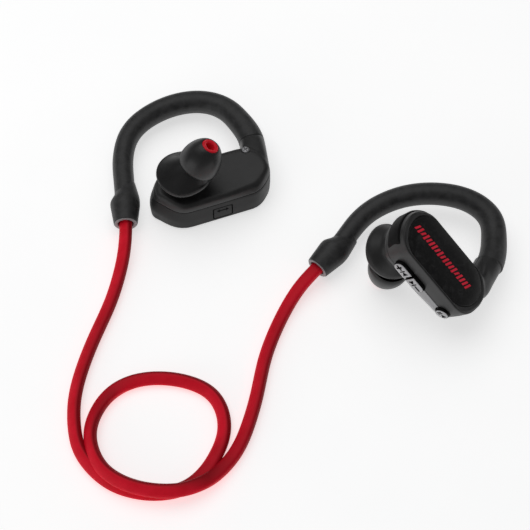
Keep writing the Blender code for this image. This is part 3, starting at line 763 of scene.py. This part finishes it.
    def build_shells(self):
        """Tub and lid: a cavity, the plate's recess, the pod's neck and the screw's hole, then the cut."""
        self.solid = self.fused_solid()
        hollow = copy_of(self.solid, "hollow")
        boolean(hollow, loft_data([self.shaped_ring(WALL, w) for w in (2.0, 4.0, 6.0, 8.0, 9.5, 10.7)]))
        boolean(hollow, loft_data([self.shaped_ring(FACE_INSET, w) for w in (-2.0, 0.2, 1.2)]))
        boolean(hollow, turned([(5.2, 9.9), (5.2, 13.5)], self.pod_centre, UP, 64, hollow=False))
        boolean(hollow, turned([(1.55, 11.15), (1.55, 13.5)], self.screw_centre, UP, 40, hollow=False))
        self.cut_openings(hollow)
        outer = self.parted(hollow, self.name("shell_outer"), above=False)
        inner = self.parted(hollow, self.name("shell_inner"), above=True)
        bpy.data.objects.remove(hollow)
        self.add("shell_outer", outer, self.tub, ["outer_shell"])
        self.add("shell_inner", inner, "housing", ["inner_shell", "hook_arm"])

    def cut_openings(self, hollow):
        """The openings in the control wall, which differ between the units."""

    def plate_ring(self, inset, w):
        ring = stadium(PLATE_LENGTH - 2 * inset, PLATE_WIDTH - 2 * inset, w)
        ring = [point + PLATE_SHIFT for point in ring]
        return [point - Vector((0, self.side_cut(point.y), 0)) for point in ring]

    def build_plate(self):
        """The flat outer plate, and the lighter rim that fills the face round it."""
        profile = [(0.0, 1.1), (0.0, 0.3), (0.1, 0.16), (0.3, 0.08), (4.0, 0.0)]
        plate = loft_data([self.plate_ring(inset, w) for inset, w in profile])
        self.add("plate", plate, "plate", ["outer_plate"])
        section = [
            (0.0, 1.1), (0.0, 0.35), (0.1, 0.2), (0.3, 0.15), (0.5, 0.17), (0.7, 0.14), (0.9, 0.2),
            (1.0, 0.36), (1.0, 1.1),
        ]
        rings = []
        for share, w in section:
            inside, outside = self.plate_ring(-0.08, w), self.shaped_ring(FACE_INSET + 0.06, w)
            rings.append([a.lerp(b, share) for a, b in zip(inside, outside)])
        self.add("plate_rim", loft_data(rings, ring_shaped=True), "rim")

    def build_seal(self):
        """The soft gasket behind the parting line."""
        inner, outer = WALL + 0.9, WALL + 0.1
        low, high = PARTING - 0.15, PARTING + 0.85
        section = fillet([(inner, low), (outer, low), (outer, high), (inner, high)], 0.2, 3)
        rings = [self.shaped_ring(inset, w) for inset, w in section]
        self.add("seal", loft_data(rings, ring_shaped=True), "tip", ["housing_seal"])

    def build_screw(self):
        """A small countersunk screw with a cross in its head."""
        centre = self.screw_centre
        profile = [(0.5, 10.4), (0.5, 11.3), (1.25, 11.35), (1.25, 11.7), (0.9, 11.95), (0.1, 12.0)]
        data = turned(fillet(profile, 0.15, 4), centre, UP, 40, hollow=False)
        head = mesh_object(self.name("screw_head"), data)
        for turn in (0.35, 0.35 + math.pi / 2):
            c, s = math.cos(turn), math.sin(turn)
            outline = [(0.8, 0.16), (-0.8, 0.16), (-0.8, -0.16), (0.8, -0.16)]
            ring = [centre + Vector((x * c - y * s, x * s + y * c, 0)) for x, y in outline]
            boolean(head, loft_data([[p + UP * level for p in ring] for level in (11.6, 12.4)]))
        self.add("screw_head", head, "steel", ["housing_screw"])

    # ---- hook

    def build_sleeve(self):
        """The soft sleeve over the hook wire, with a faint mould line down both sides."""
        point, side, across = self.frames[self.seam]
        inward = self.path[(self.seam + self.gland) // 2] - point
        inner_side = math.copysign(1.0, side.dot(inward))
        push = (self.path[self.seam + 1] - self.path[self.seam]).normalized()
        stations = []
        for shift, less in ((0.12, 0.35), (0.2, 0.1), (0.4, 0.0)):
            stations.append(((point + push * shift, side, across), 0.0, less))
        for i in range(self.seam + 1, self.gland + SLEEVE_INTO_GLAND):
            share = min((i - self.seam) / (self.gland - self.seam), 1.0)
            stations.append((self.frames[i], share, 0.0))
        rings, bores = [], []
        for frame_at, share, less in stations:
            fill = inner_side * self.root_fill * smoothstep(0.11, 0.0, share)
            if share < TAPER_SHARE:
                wide, thick = mix(SEAM_SECTION, MID_SECTION, share / TAPER_SHARE)
            else:
                wide, thick = mix(MID_SECTION, END_SECTION, (share - TAPER_SHARE) / (1 - TAPER_SHARE))
            rings.append(section_ring(frame_at, self.sleeve_section(wide - less, thick - less, fill)))
            bores.append(section_ring(frame_at, oval(HOOK_BORE, HOOK_BORE, 48)))
        data = loft_data(rings + bores[::-1], ring_shaped=True)
        self.add("hook_cover", data, "rubber", ["hook_sleeve"], local=False)

    @staticmethod
    def sleeve_section(wide, deep, fill):
        """An oval with a faint ridge down both sides, stretched by fill on one side."""
        ridge = {0: 0.07, 24: 0.07}
        offsets = []
        for i, (x, y) in enumerate(oval(wide, deep, 48, 2.15)):
            stretch = 1 + ridge.get(i, 0) / wide + (abs(fill) / wide if x * fill > 0 else 0.0)
            offsets.append((x * stretch, y))
        return offsets

    def build_gland(self):
        """The strain relief: it steps out at once on the outer side, and swells slowly inside."""
        length = (self.gland_end - self.gland_start).length + 0.5
        point, side, _ = self.frames[self.gland]
        axis = self.gland_axis
        inward = (self.path[self.gland // 2] - point).normalized()
        turn = axis.cross(side if side.dot(inward) < 0 else -side).normalized()
        outward = turn.cross(axis)
        neck = END_SECTION[0]
        profile = [
            (neck - 0.3, 1.1), (neck + 0.12, 1.2), (neck + 0.35, 2.0), (GLAND_RADIUS, 3.9),
            (GLAND_RADIUS, 5.0), (GLAND_RING + 0.1, length - 0.25), (GLAND_RING - 0.15, length),
            (GLAND_MOUTH, length), (GLAND_MOUTH, length - 2.3), (HOOK_BORE, length - 2.4), (HOOK_BORE, 1.2),
        ]
        rings = []
        for radius, height in fillet(profile, 0.6, 5):
            swell = 4.2 * smoothstep(5.1, 1.5, height) if radius > HOOK_BORE + 0.1 else 0.0
            ring = []
            for x, y in oval(radius, radius, 64):
                early = swell * (0.5 - 0.5 * x / radius)
                ring.append(point + axis * (height - early) + outward * x + turn * y)
            rings.append(ring)
        data = loft_data(rings, ring_shaped=True)
        self.add("strain_relief", data, "rubber", ["cord_gland"], local=False)
        lip = [
            (GLAND_MOUTH - 0.15, length - 0.9), (GLAND_MOUTH - 0.15, length + 0.02),
            (GLAND_RING - 0.25, length + 0.1), (GLAND_RING - 0.05, length - 0.1),
            (GLAND_RING - 0.3, length - 0.4), (GLAND_MOUTH, length - 0.9),
        ]
        ring = turned(fillet(lip, 0.12, 3), self.gland_start, axis, 64)
        self.add("mouth_ring", ring, "ring", local=False)

    # ---- driver pod and ear tip

    def build_pod(self):
        outer = [
            (5.1, 10.0), (5.1, 13.3), (5.25, 14.4), (5.8, 15.4), (6.5, 16.5), (7.0, 17.3), (7.3, 17.95),
        ]
        inner = [(6.6, 17.9), (6.2, 16.9), (4.3, 15.4), (4.1, 14.8), (4.1, 10.0)]
        points, faces = turned(spline_profile(outer, 40) + inner, self.pod_centre, UP, 96)
        self.add("pod_bowl", ([self.leaned(p) for p in points], faces), "gloss", ["driver_bowl"])
        self.build_cap()
        tube = [
            (1.6, -4.4), (2.3, -4.4), (2.3, 0.4), (2.62, 0.75), (2.62, 1.2), (2.3, 1.5), (1.6, 1.5),
            (1.6, -4.0),
        ]
        data = turned(fillet(tube, 0.2, 3), self.tip_centre, NOZZLE_AXIS, 56)
        self.add("sound_tube", data, "pod", ["nozzle"])
        self.build_gauze()

    def leaned(self, point, amount=1.0):
        """The pod is wider towards the ear tip, where it dips a little, and on its lower side."""
        u, v, w = point
        offset = max(u - self.pod_centre.x, 0.0)
        below = min(v - self.pod_centre.y, 0.0)
        share = smoothstep(12.0, 17.5, w) * amount
        dip = 1.1 * smoothstep(2.5, 7.3, offset) * share
        return Vector((u + 0.33 * offset * share, v + 0.17 * below * share, w - dip))

    def build_cap(self):
        """The pod's cap leans over, from the pod's round rim to the base of the ear tip."""
        low, high = self.pod_centre + UP * 19.1, self.tip_centre - NOZZLE_AXIS * 3.3

        def ring(lean, radius, lift=0.0):
            axis, turn = UP.slerp(NOZZLE_AXIS, lean), Vector((0, 1, 0))
            frame_at = (low.lerp(high, lean) + axis * lift, turn.cross(axis), turn)
            points = section_ring(frame_at, oval(radius, radius, 96))
            return [self.leaned(point, 1.0 - lean) for point in points]

        rings = [ring(0.0, 7.3, -1.12), ring(0.0, 7.32, -0.7), ring(0.0, 7.26, -0.3), ring(0.0, 7.12, 0.0)]
        steps = 22
        for i in range(1, steps + 1):
            t = i / steps
            rings.append(ring(t**1.15, 7.12 + (5.0 - 7.12) * t**0.9))
        rings += [ring(1.0, 4.8, 0.2), ring(1.0, 2.5, 0.2), ring(1.0, 2.5, -1.0)]
        rings += [ring(0.3, 5.2, -0.7), ring(0.0, 6.5, -0.6), ring(0.0, 6.6, -1.12)]
        self.add("pod_cap", loft_data(rings, ring_shaped=True), "pod", ["driver_cap"])

    def build_gauze(self):
        """A woven disc in the mouth of the sound tube: two layers of crossing wires."""
        side = NOZZLE_AXIS.orthogonal().normalized()
        turn = NOZZLE_AXIS.cross(side)
        centre = self.tip_centre + NOZZLE_AXIS * 1.05
        parts = [turned([(1.4, -0.12), (1.5, -0.12), (1.5, 0.12), (1.4, 0.12)], centre, NOZZLE_AXIS, 48)]
        for along, across, lift in ((side, turn, 0.05), (turn, side, -0.05)):
            for k in range(-4, 5):
                offset = k * 0.3
                reach = math.sqrt(max(1.45**2 - offset**2, 0.01))
                ends = [centre + across * offset + along * s * reach for s in (-1, 1)]
                rings = []
                for end in ends:
                    frame_at = (end + NOZZLE_AXIS * lift, across, NOZZLE_AXIS)
                    rings.append(section_ring(frame_at, oval(0.05, 0.05, 6)))
                parts.append(loft_data(rings))
        self.add("sound_mesh", merged(*parts), "steel", ["nozzle_mesh"])

    def build_tip(self):
        """The red core, the collar that grips the sound tube and the soft dome."""
        core = [
            (2.95, 2.1), (3.45, 2.1), (3.45, 3.0), (2.75, 4.2), (2.62, 6.0), (2.2, 6.42), (1.65, 6.3),
            (1.35, 5.9), (1.35, 2.1), (2.8, 2.1),
        ]
        collar = [(2.95, -1.8), (3.45, -1.9), (3.45, 2.0), (1.7, 2.0), (1.7, 1.8), (2.95, 1.8)]
        outer = [
            (2.72, 6.1), (3.05, 5.95), (3.8, 5.25), (4.65, 4.05), (5.45, 2.4), (6.0, 0.5),
            (6.22, -1.2), (6.05, -2.6), (5.7, -3.15),
        ]
        inner = [(5.4, -2.8), (5.6, -0.6), (5.4, 1.4), (4.75, 3.1), (3.9, 4.1), (3.0, 4.4)]
        dome = spline_profile(outer, 48) + spline_profile(inner, 20)
        for piece, profile, segments, material, replaces in (
            ("tip_core", fillet(core, 0.35, 5), 72, "core", ["ear_tip_core"]),
            ("tip_collar", fillet(collar, 0.3, 4), 72, "tip", []),
            ("tip_dome", dome, 96, "tip", ["ear_tip_dome"]),
        ):
            data = turned(profile, self.tip_centre, NOZZLE_AXIS, segments)
            self.add(piece, data, material, replaces, self.name("tip"))


def spline_at(points, place):
    """A point on the Catmull-Rom curve through the points, at a fractional index."""
    points = [Vector(p) for p in points]
    low = min(int(place), len(points) - 2)
    t = place - low
    p1, p2 = points[low], points[low + 1]
    p0 = points[low - 1] if low > 0 else p1 * 2 - p2
    p3 = points[low + 2] if low + 2 < len(points) else p2 * 2 - p1
    square, cube = p0 * 2 - p1 * 5 + p2 * 4 - p3, p1 * 3 - p0 - p2 * 3 + p3
    return 0.5 * (p1 * 2 + (p2 - p0) * t + square * t**2 + cube * t**3)


# ---------------------------------------------------------------- control wall


def prism(outline, levels, place):
    """A prism through an outline's points (x, y): place gives the spot of (x, y) at each level."""
    return loft_data([[place(x, y, level) for x, y in outline] for level in levels])


def wall_block(outline, outer, inner):
    """A prism through the control wall: the outline holds (u, w), outer and inner are v."""
    return prism(outline, (outer, inner), lambda u, w, v: (u, v, w))


def bar(left, right, half_height):
    """A rectangle between two sides, even about the line y = 0."""
    return [(left, -half_height), (right, -half_height), (right, half_height), (left, half_height)]


def rounded_outline(length, height, radius, left=True, right=True, steps=8):
    """A rectangle about 0 whose left and right corners are rounded, or square."""
    points = []
    for sx, sy in ((1, -1), (1, 1), (-1, 1), (-1, -1)):
        r = radius if (right if sx > 0 else left) else 0.12
        centre = (sx * (length / 2 - r), sy * (height / 2 - r))
        start = {(1, -1): -90, (1, 1): 0, (-1, 1): 90, (-1, -1): 180}[(sx, sy)]
        for i in range(steps + 1):
            angle = math.radians(start + 90 * i / steps)
            points.append((centre[0] + r * math.cos(angle), centre[1] + r * math.sin(angle)))
    return points


def shifted(outline, u, w):
    return [(x + u, y + w) for x, y in outline]


def scaled(outline, less, length, height):
    """The outline drawn in by an even margin."""
    return [(x * (1 - 2 * less / length), y * (1 - 2 * less / height)) for x, y in outline]


def wall_point(s, w, lift=0.0):
    """A point on the control wall: s runs along it and on round the hook end."""
    radius = HOUSING_WIDTH / 2 + lift - 0.4 * smoothstep(9.0, 11.4, w)
    if s <= END_CENTRE:
        return Vector((s, -radius, w))
    angle = (s - END_CENTRE) / (HOUSING_WIDTH / 2)
    return Vector((END_CENTRE + radius * math.sin(angle), -radius * math.cos(angle), w))


class LeftUnit(Unit):
    """The left unit has the charging port under a hinged cover."""

    def cut_openings(self, hollow):
        window = rounded_outline(PORT_WIDTH + 0.7, PORT_HEIGHT + 0.7, 0.6)
        window = shifted(window, PORT_CENTRE, PORT_LEVEL)
        boolean(hollow, wall_block(window, WALL_FACE - 2, WALL_FACE + 2.4))

    def build_extras(self):
        """The port cover, cut from the housing's own wall, and its double arrow."""
        outline = shifted(rounded_outline(PORT_WIDTH, PORT_HEIGHT, 0.5), PORT_CENTRE, PORT_LEVEL)
        cover = copy_of(self.solid, self.name("port_flap"))
        boolean(cover, wall_block(outline, WALL_FACE - 2, WALL_FACE + 0.9), "INTERSECT")
        self.add("port_flap", cover, self.tub, ["port_cover"], "port_door")
        head = [(-1.0, -0.2), (-1.0, -0.75), (-1.9, 0.0), (-1.0, 0.75), (-1.0, 0.2)]
        arrow = head + [(-u, -w) for u, w in head]
        mark = wall_block(shifted(arrow, PORT_CENTRE, 5.4), WALL_FACE - 0.04, WALL_FACE + 0.3)
        self.add("port_mark", mark, "ink", (), "port_door")


class RightUnit(Unit):
    """The right unit has the volume keys, the power key and the printed plate."""

    tub = "housing"
    end_pull = 1.0
    end_bulge = 0.0
    end_lift = 0.0
    hook_trim = 1.5
    trim_span = (-9.0, -2.0)
    side_trim = 0.5
    root_fill = 0.1
    root_swell = 1.0
    seam_back = -4
    arm_route = [(12.0, 2.2, 6.0), (14.2, 5.6, 6.0), (15.3, 9.4, 6.0), (15.5, 13.2, 6.0)]
    arm_inner = [(7.0, -0.5, 6.0), (10.0, 4.6, 6.0), (12.5, 8.4, 6.0), (11.6, 11.4, 6.0)]
    arm_outer = [(17.0, -4.2, 6.0), (18.5, 0.0, 6.0), (19.9, 4.6, 6.0), (20.6, 9.6, 6.0)]
    pod_centre = POD_CENTRE + Vector((0.2, -1.0, 0.0))
    tip_centre = TIP_CENTRE + Vector((0.2, -1.1, 0.0))
    screw_centre = Vector((13.6, 4.6, 0.0))

    def cut_openings(self, hollow):
        boolean(hollow, self.volume_cutter())
        boolean(hollow, self.power_cutter())

    @staticmethod
    def volume_cutter():
        pill = rounded_outline(VOLUME_LENGTH, VOLUME_HEIGHT, VOLUME_HEIGHT / 2 - 0.01)
        window = shifted(pill, VOLUME_CENTRE, WINDOW_LEVEL)
        return wall_block(window, WALL_FACE - 2, WALL_FACE + 2.4)

    def power_cutter(self):
        face = HOUSING_WIDTH / 2
        rim = POWER_RADIUS + KEY_GAP
        profile = [(rim, face - 2.4), (rim, face + 2.0)]
        return turned(profile, self.power_centre(), self.power_axis(), 56, hollow=False)

    @staticmethod
    def power_axis():
        return Vector((math.sin(POWER_ANGLE), -math.cos(POWER_ANGLE), 0.0))

    @staticmethod
    def power_centre():
        return Vector((END_CENTRE, 0.0, POWER_LEVEL))

    def build_extras(self):
        self.build_strip()
        self.build_volume_keys()
        self.build_power_key()
        self.build_end_panel()
        self.build_plate_mark()

    def build_strip(self):
        """A thin satin inlay along the wall, from the volume keys to the power key; its light grey is
        partly its own colour and partly painted reflection of the table.
        """
        first, last, low, high = -4.0, END_CENTRE + 1.2, 6.5, 10.7
        length, middle = last - first, (low + high) / 2
        outline = rounded_outline(length, high - low, 0.8, steps=10)
        columns, rows = 90, 12
        rings = []
        for i in range(columns + 1):
            s = first + length * i / columns
            bottom, top = self.outline_span(outline, s - (first + last) / 2)
            levels = [middle + bottom + (top - bottom) * k / rows for k in range(rows + 1)]
            front = [self.shaped(wall_point(s, w, 0.1)) for w in levels]
            back = [self.shaped(wall_point(s, w, -0.5)) for w in reversed(levels)]
            rings.append(front + back)
        strip = mesh_object(self.name("control_strip"), loft_data(rings))
        boolean(strip, self.volume_cutter())
        boolean(strip, self.power_cutter())
        self.add("control_strip", strip, "strip")

    @staticmethod
    def outline_span(outline, x):
        """The lowest and highest crossing of an outline at x."""
        found = []
        for (x0, y0), (x1, y1) in zip(outline, outline[1:] + outline[:1]):
            if (x0 - x) * (x1 - x) <= 0 and abs(x1 - x0) > 1e-9:
                found.append(y0 + (y1 - y0) * (x - x0) / (x1 - x0))
        return (min(found), max(found)) if found else (-0.05, 0.05)

    @staticmethod
    def key_solid(outline, size, centre, levels):
        """A key's outline at each (margin, v) level, drawn in the wall's plane."""
        rings = []
        for less, v in levels:
            ring = scaled(outline, less, *size)
            rings.append([(x + centre, v, y + KEY_LEVEL) for x, y in ring])
        return loft_data(rings)

    def build_volume_keys(self):
        """Two keys: a black rubber base, and a grey cap on its face."""
        length = (VOLUME_LENGTH - 2 * KEY_GAP - KEY_SPLIT) / 2
        size = (length, KEY_HEIGHT)
        top = WALL_FACE - KEY_PROUD
        base = [(0.0, WALL_FACE + 0.85), (0.0, top + 0.3), (0.06, top + 0.16), (0.3, top + 0.1)]
        cap = [(0.12, top + 0.25), (0.12, top + 0.14), (0.18, top + 0.05), (0.32, top), (0.6, top - 0.02)]
        for piece, side in (("volume_up", -1), ("volume_down", 1)):
            centre = VOLUME_CENTRE + side * (length + KEY_SPLIT) / 2
            outline = rounded_outline(length, KEY_HEIGHT, KEY_HEIGHT / 2 - 0.4, side < 0, side > 0)
            body = self.key_solid(outline, size, centre, base)
            self.add(piece + "_key", body, "panel", [piece + "_button"], piece)
            self.add(piece + "_cap", self.key_solid(outline, size, centre, cap), "key", (), piece)
            icons = self.volume_icon(side, centre, top)
            self.add(piece + "_icon", icons, "ink", (), piece)

    @staticmethod
    def volume_icon(side, centre, top):
        """A plus or a minus beside a skip arrow."""
        dash = bar(-1.05, 1.05, 0.28)
        arrow = [(-0.75 * side, 1.0), (0.6 * side, 0.0), (-0.75 * side, -1.0)]
        stop = bar(0.62 * side, 0.98 * side, 1.0)
        shapes = [(dash, 1.2), (arrow, -1.15), (stop, -1.15)]
        if side < 0:
            shapes.append(([(y, x) for x, y in dash], 1.2))
        blocks = []
        for shape, offset in shapes:
            outline = shifted(shape, centre + side * offset, KEY_LEVEL)
            blocks.append(wall_block(outline, top - 0.06, top + 0.12))
        return merged(*blocks)

    def build_power_key(self):
        """A round key: a black rubber base, a grey cap and a printed play and pause sign."""
        axis, centre, face = self.power_axis(), self.power_centre(), HOUSING_WIDTH / 2
        top, rim = face + POWER_PROUD, POWER_RADIUS
        base = [(0.05, face - 1.7), (rim, face - 1.7), (rim, top - 0.3), (rim - 0.1, top - 0.12)]
        base.append((0.05, top - 0.1))
        cap = [(0.05, top - 0.2), (rim - 0.16, top - 0.2), (rim - 0.18, top - 0.08), (rim - 0.35, top)]
        cap.append((0.05, top))
        body = turned(base, centre, axis, 64, hollow=False)
        self.add("power_key", body, "panel", ["power_button"], "power_key")
        self.add("power_cap", turned(cap, centre, axis, 64, hollow=False), "key", (), "power_key")
        across = axis.cross(UP).normalized()
        play = [(-1.3, 0.85), (0.05, 0.0), (-1.3, -0.85)]

        def on_key(x, y, level):
            return centre + across * x + UP * y + axis * level

        signs = (play, bar(0.32, 0.68, 0.8), bar(0.92, 1.28, 0.8))
        icon = merged(*[prism(shape, (top - 0.12, top + 0.05), on_key) for shape in signs])
        self.add("power_icon", icon, "ink", (), "power_key")

    def build_end_panel(self):
        """A soft pad wrapped round the free end of the housing."""
        start, end = math.radians(96), math.radians(238)
        centre = Vector((-END_CENTRE, 0.0, 0.0))
        steps = 48
        rings = []
        for i in range(steps + 1):
            angle = start + (end - start) * i / steps
            out = Vector((math.cos(angle), math.sin(angle), 0.0))
            thick = 0.32 * smoothstep(0.0, 0.05, min(i, steps - i) / steps)
            low, high = 8.22 + thick * 0.5, 8.3 + thick
            section = [(7.6, 2.5), (low, 2.3), (high, 2.8), (high, 8.0), (low, 8.5), (7.6, 8.3)]
            section = fillet(section, 0.25, 3)
            rings.append([self.shaped(centre + out * r + UP * w) for r, w in section])
        self.add("end_pad", loft_data(rings), "panel")

    def build_plate_mark(self):
        """A printed row of slanted bars down the plate's middle."""
        count, pitch, slant, half = 19, 1.32, 0.5, 0.38
        parts = []
        for k in range(count):
            middle = (k - (count - 1) / 2) * pitch - 2.0
            tall = 0.75 + 0.4 * abs(math.sin(k * 1.3 + 0.6))
            shape = [(x + middle + math.copysign(slant, y), y) for x, y in bar(-half, half, tall)]
            parts.append(prism(shape, (-0.03, 0.06), lambda x, y, w: (x, y - 0.4, w)))
        self.add("plate_bars", merged(*parts), "paint")


# ---------------------------------------------------------------- cord


def build_cord(left, right, material):
    """The flat cord: its wide face leans a little towards the front left as it lies."""
    inner = [Vector(point) - ORIGIN for point in CORD_ROUTE]
    path = smooth_curve([left.cord_seat] + inner + [right.cord_seat], CORD_RINGS)
    lean = Vector((-0.68, -0.56, 1.0)).normalized()
    along = [0.0]
    for a, b in zip(path, path[1:]):
        along.append(along[-1] + (b - a).length)
    rings, centres = [], []
    for (point, side, across), at in zip(path_frames(path, [lean] * len(path)), along):
        offsets = oval(CORD_WIDTH * 0.53, CORD_THICKNESS * 0.53, 36, 2.9)
        half = max(side.z * x + across.z * y for x, y in offsets)
        near = min(at, along[-1] - at)
        free = smoothstep(3.0, 24.0, near)
        rest = half + 0.02 + (point.z - CORD_LIE) * 0.66
        point = Vector((point.x, point.y, point.z + (rest - point.z) * free))
        rings.append(section_ring((point, side, across), offsets))
        centres.append(point)
    cord = mesh_object("red_cord", loft_data(rings))
    place_piece(cord, Matrix.Identity(4), material, "units", ["headset_cord"])


# ---------------------------------------------------------------- carried-over CAD nodes


def dress_cad_nodes(materials):
    """Gives the hidden CAD pieces that stay their finished materials."""
    kinds = {
        "steel": [
            "hook_wire", "driver_magnet", "charging_socket", "charging_pin", "radio_shield", "microphone",
            "switch",
        ],
        "foil": ["battery"],
        "board": ["board"],
        "chip": ["driver_frame", "antenna"],
        "film": ["diaphragm"],
        "tip": ["housing_seal"],
    }
    for name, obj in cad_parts.items():
        for kind, words in kinds.items():
            if any(word in name for word in words):
                for slot in obj.material_slots:
                    slot.material = materials[kind]


# ---------------------------------------------------------------- stage


def area_light(name, place, target, size, power, colour=(1, 1, 1)):
    data = bpy.data.lights.new(name, "AREA")
    data.shape = "RECTANGLE"
    data.size, data.size_y = size
    data.energy = power
    data.color = colour
    light = bpy.data.objects.new(name, data)
    light.location = place
    light.rotation_euler = (Vector(target) - Vector(place)).to_track_quat("-Z", "Y").to_euler()
    bpy.context.scene.collection.objects.link(light)


def build_stage():
    floor = mesh_object("table", ([(-3, -3, 0), (3, -3, 0), (3, 3, 0), (-3, 3, 0)], [(0, 1, 2, 3)]))
    floor.data.materials.append(floor_material())
    world = bpy.data.worlds.new("studio")
    bpy.context.scene.world = world
    world.use_nodes = True
    background = world.node_tree.nodes["Background"]
    background.inputs["Color"].default_value = (1.0, 1.0, 1.0, 1.0)
    background.inputs["Strength"].default_value = 0.22
    area_light("overhead", (-0.15, 0.25, 0.75), (0, 0, 0), (0.9, 0.8), 1.9)
    area_light("front_low", (-0.7, -0.55, 0.2), (0, 0, 0.01), (0.8, 0.3), 0.85)


def build_camera():
    """The camera looks down at 60 degrees, at a point just left of the model's middle."""
    elevation, distance, target = math.radians(60.0), 0.445, Vector((-0.01269, -0.01801, 0.0))
    data = bpy.data.cameras.new("camera")
    data.lens, data.sensor_width = 99.75, 36.0
    data.clip_start = 0.01
    camera = bpy.data.objects.new("camera", data)
    camera.location = target + Vector((0, -math.cos(elevation), math.sin(elevation))) * distance
    camera.rotation_euler = (math.pi / 2 - elevation, 0, 0)
    bpy.context.scene.collection.objects.link(camera)
    bpy.context.scene.camera = camera


# ---------------------------------------------------------------- assembly


def left_matrix():
    return Matrix.Translation(LEFT_PLACE) @ Matrix.Rotation(math.radians(LEFT_HEADING), 4, "Z")


def right_matrix():
    """Turned to its heading, leaned about u, pitched about v, then mirrored through w."""
    heading = Matrix.Rotation(math.radians(RIGHT_HEADING), 4, "Z")
    lean = Matrix.Rotation(math.radians(RIGHT_LEAN), 4, "X")
    pitch = Matrix.Rotation(math.radians(RIGHT_PITCH), 4, "Y")
    return Matrix.Translation(RIGHT_PLACE) @ heading @ lean @ pitch @ Matrix.Diagonal((1, 1, -1, 1))


def main():
    bpy.context.scene.view_settings.view_transform = "Standard"
    build_camera()
    build_stage()
    materials = make_materials()
    dress_cad_nodes(materials)
    left = LeftUnit("left", left_matrix(), LEFT_HOOK, materials)
    right = RightUnit("right", right_matrix(), RIGHT_HOOK, materials)
    build_cord(left, right, materials["cord"])
    left.build()
    right.build()
    for unit in (left, right):
        unit.build_extras()
        bpy.data.objects.remove(unit.solid)


main()
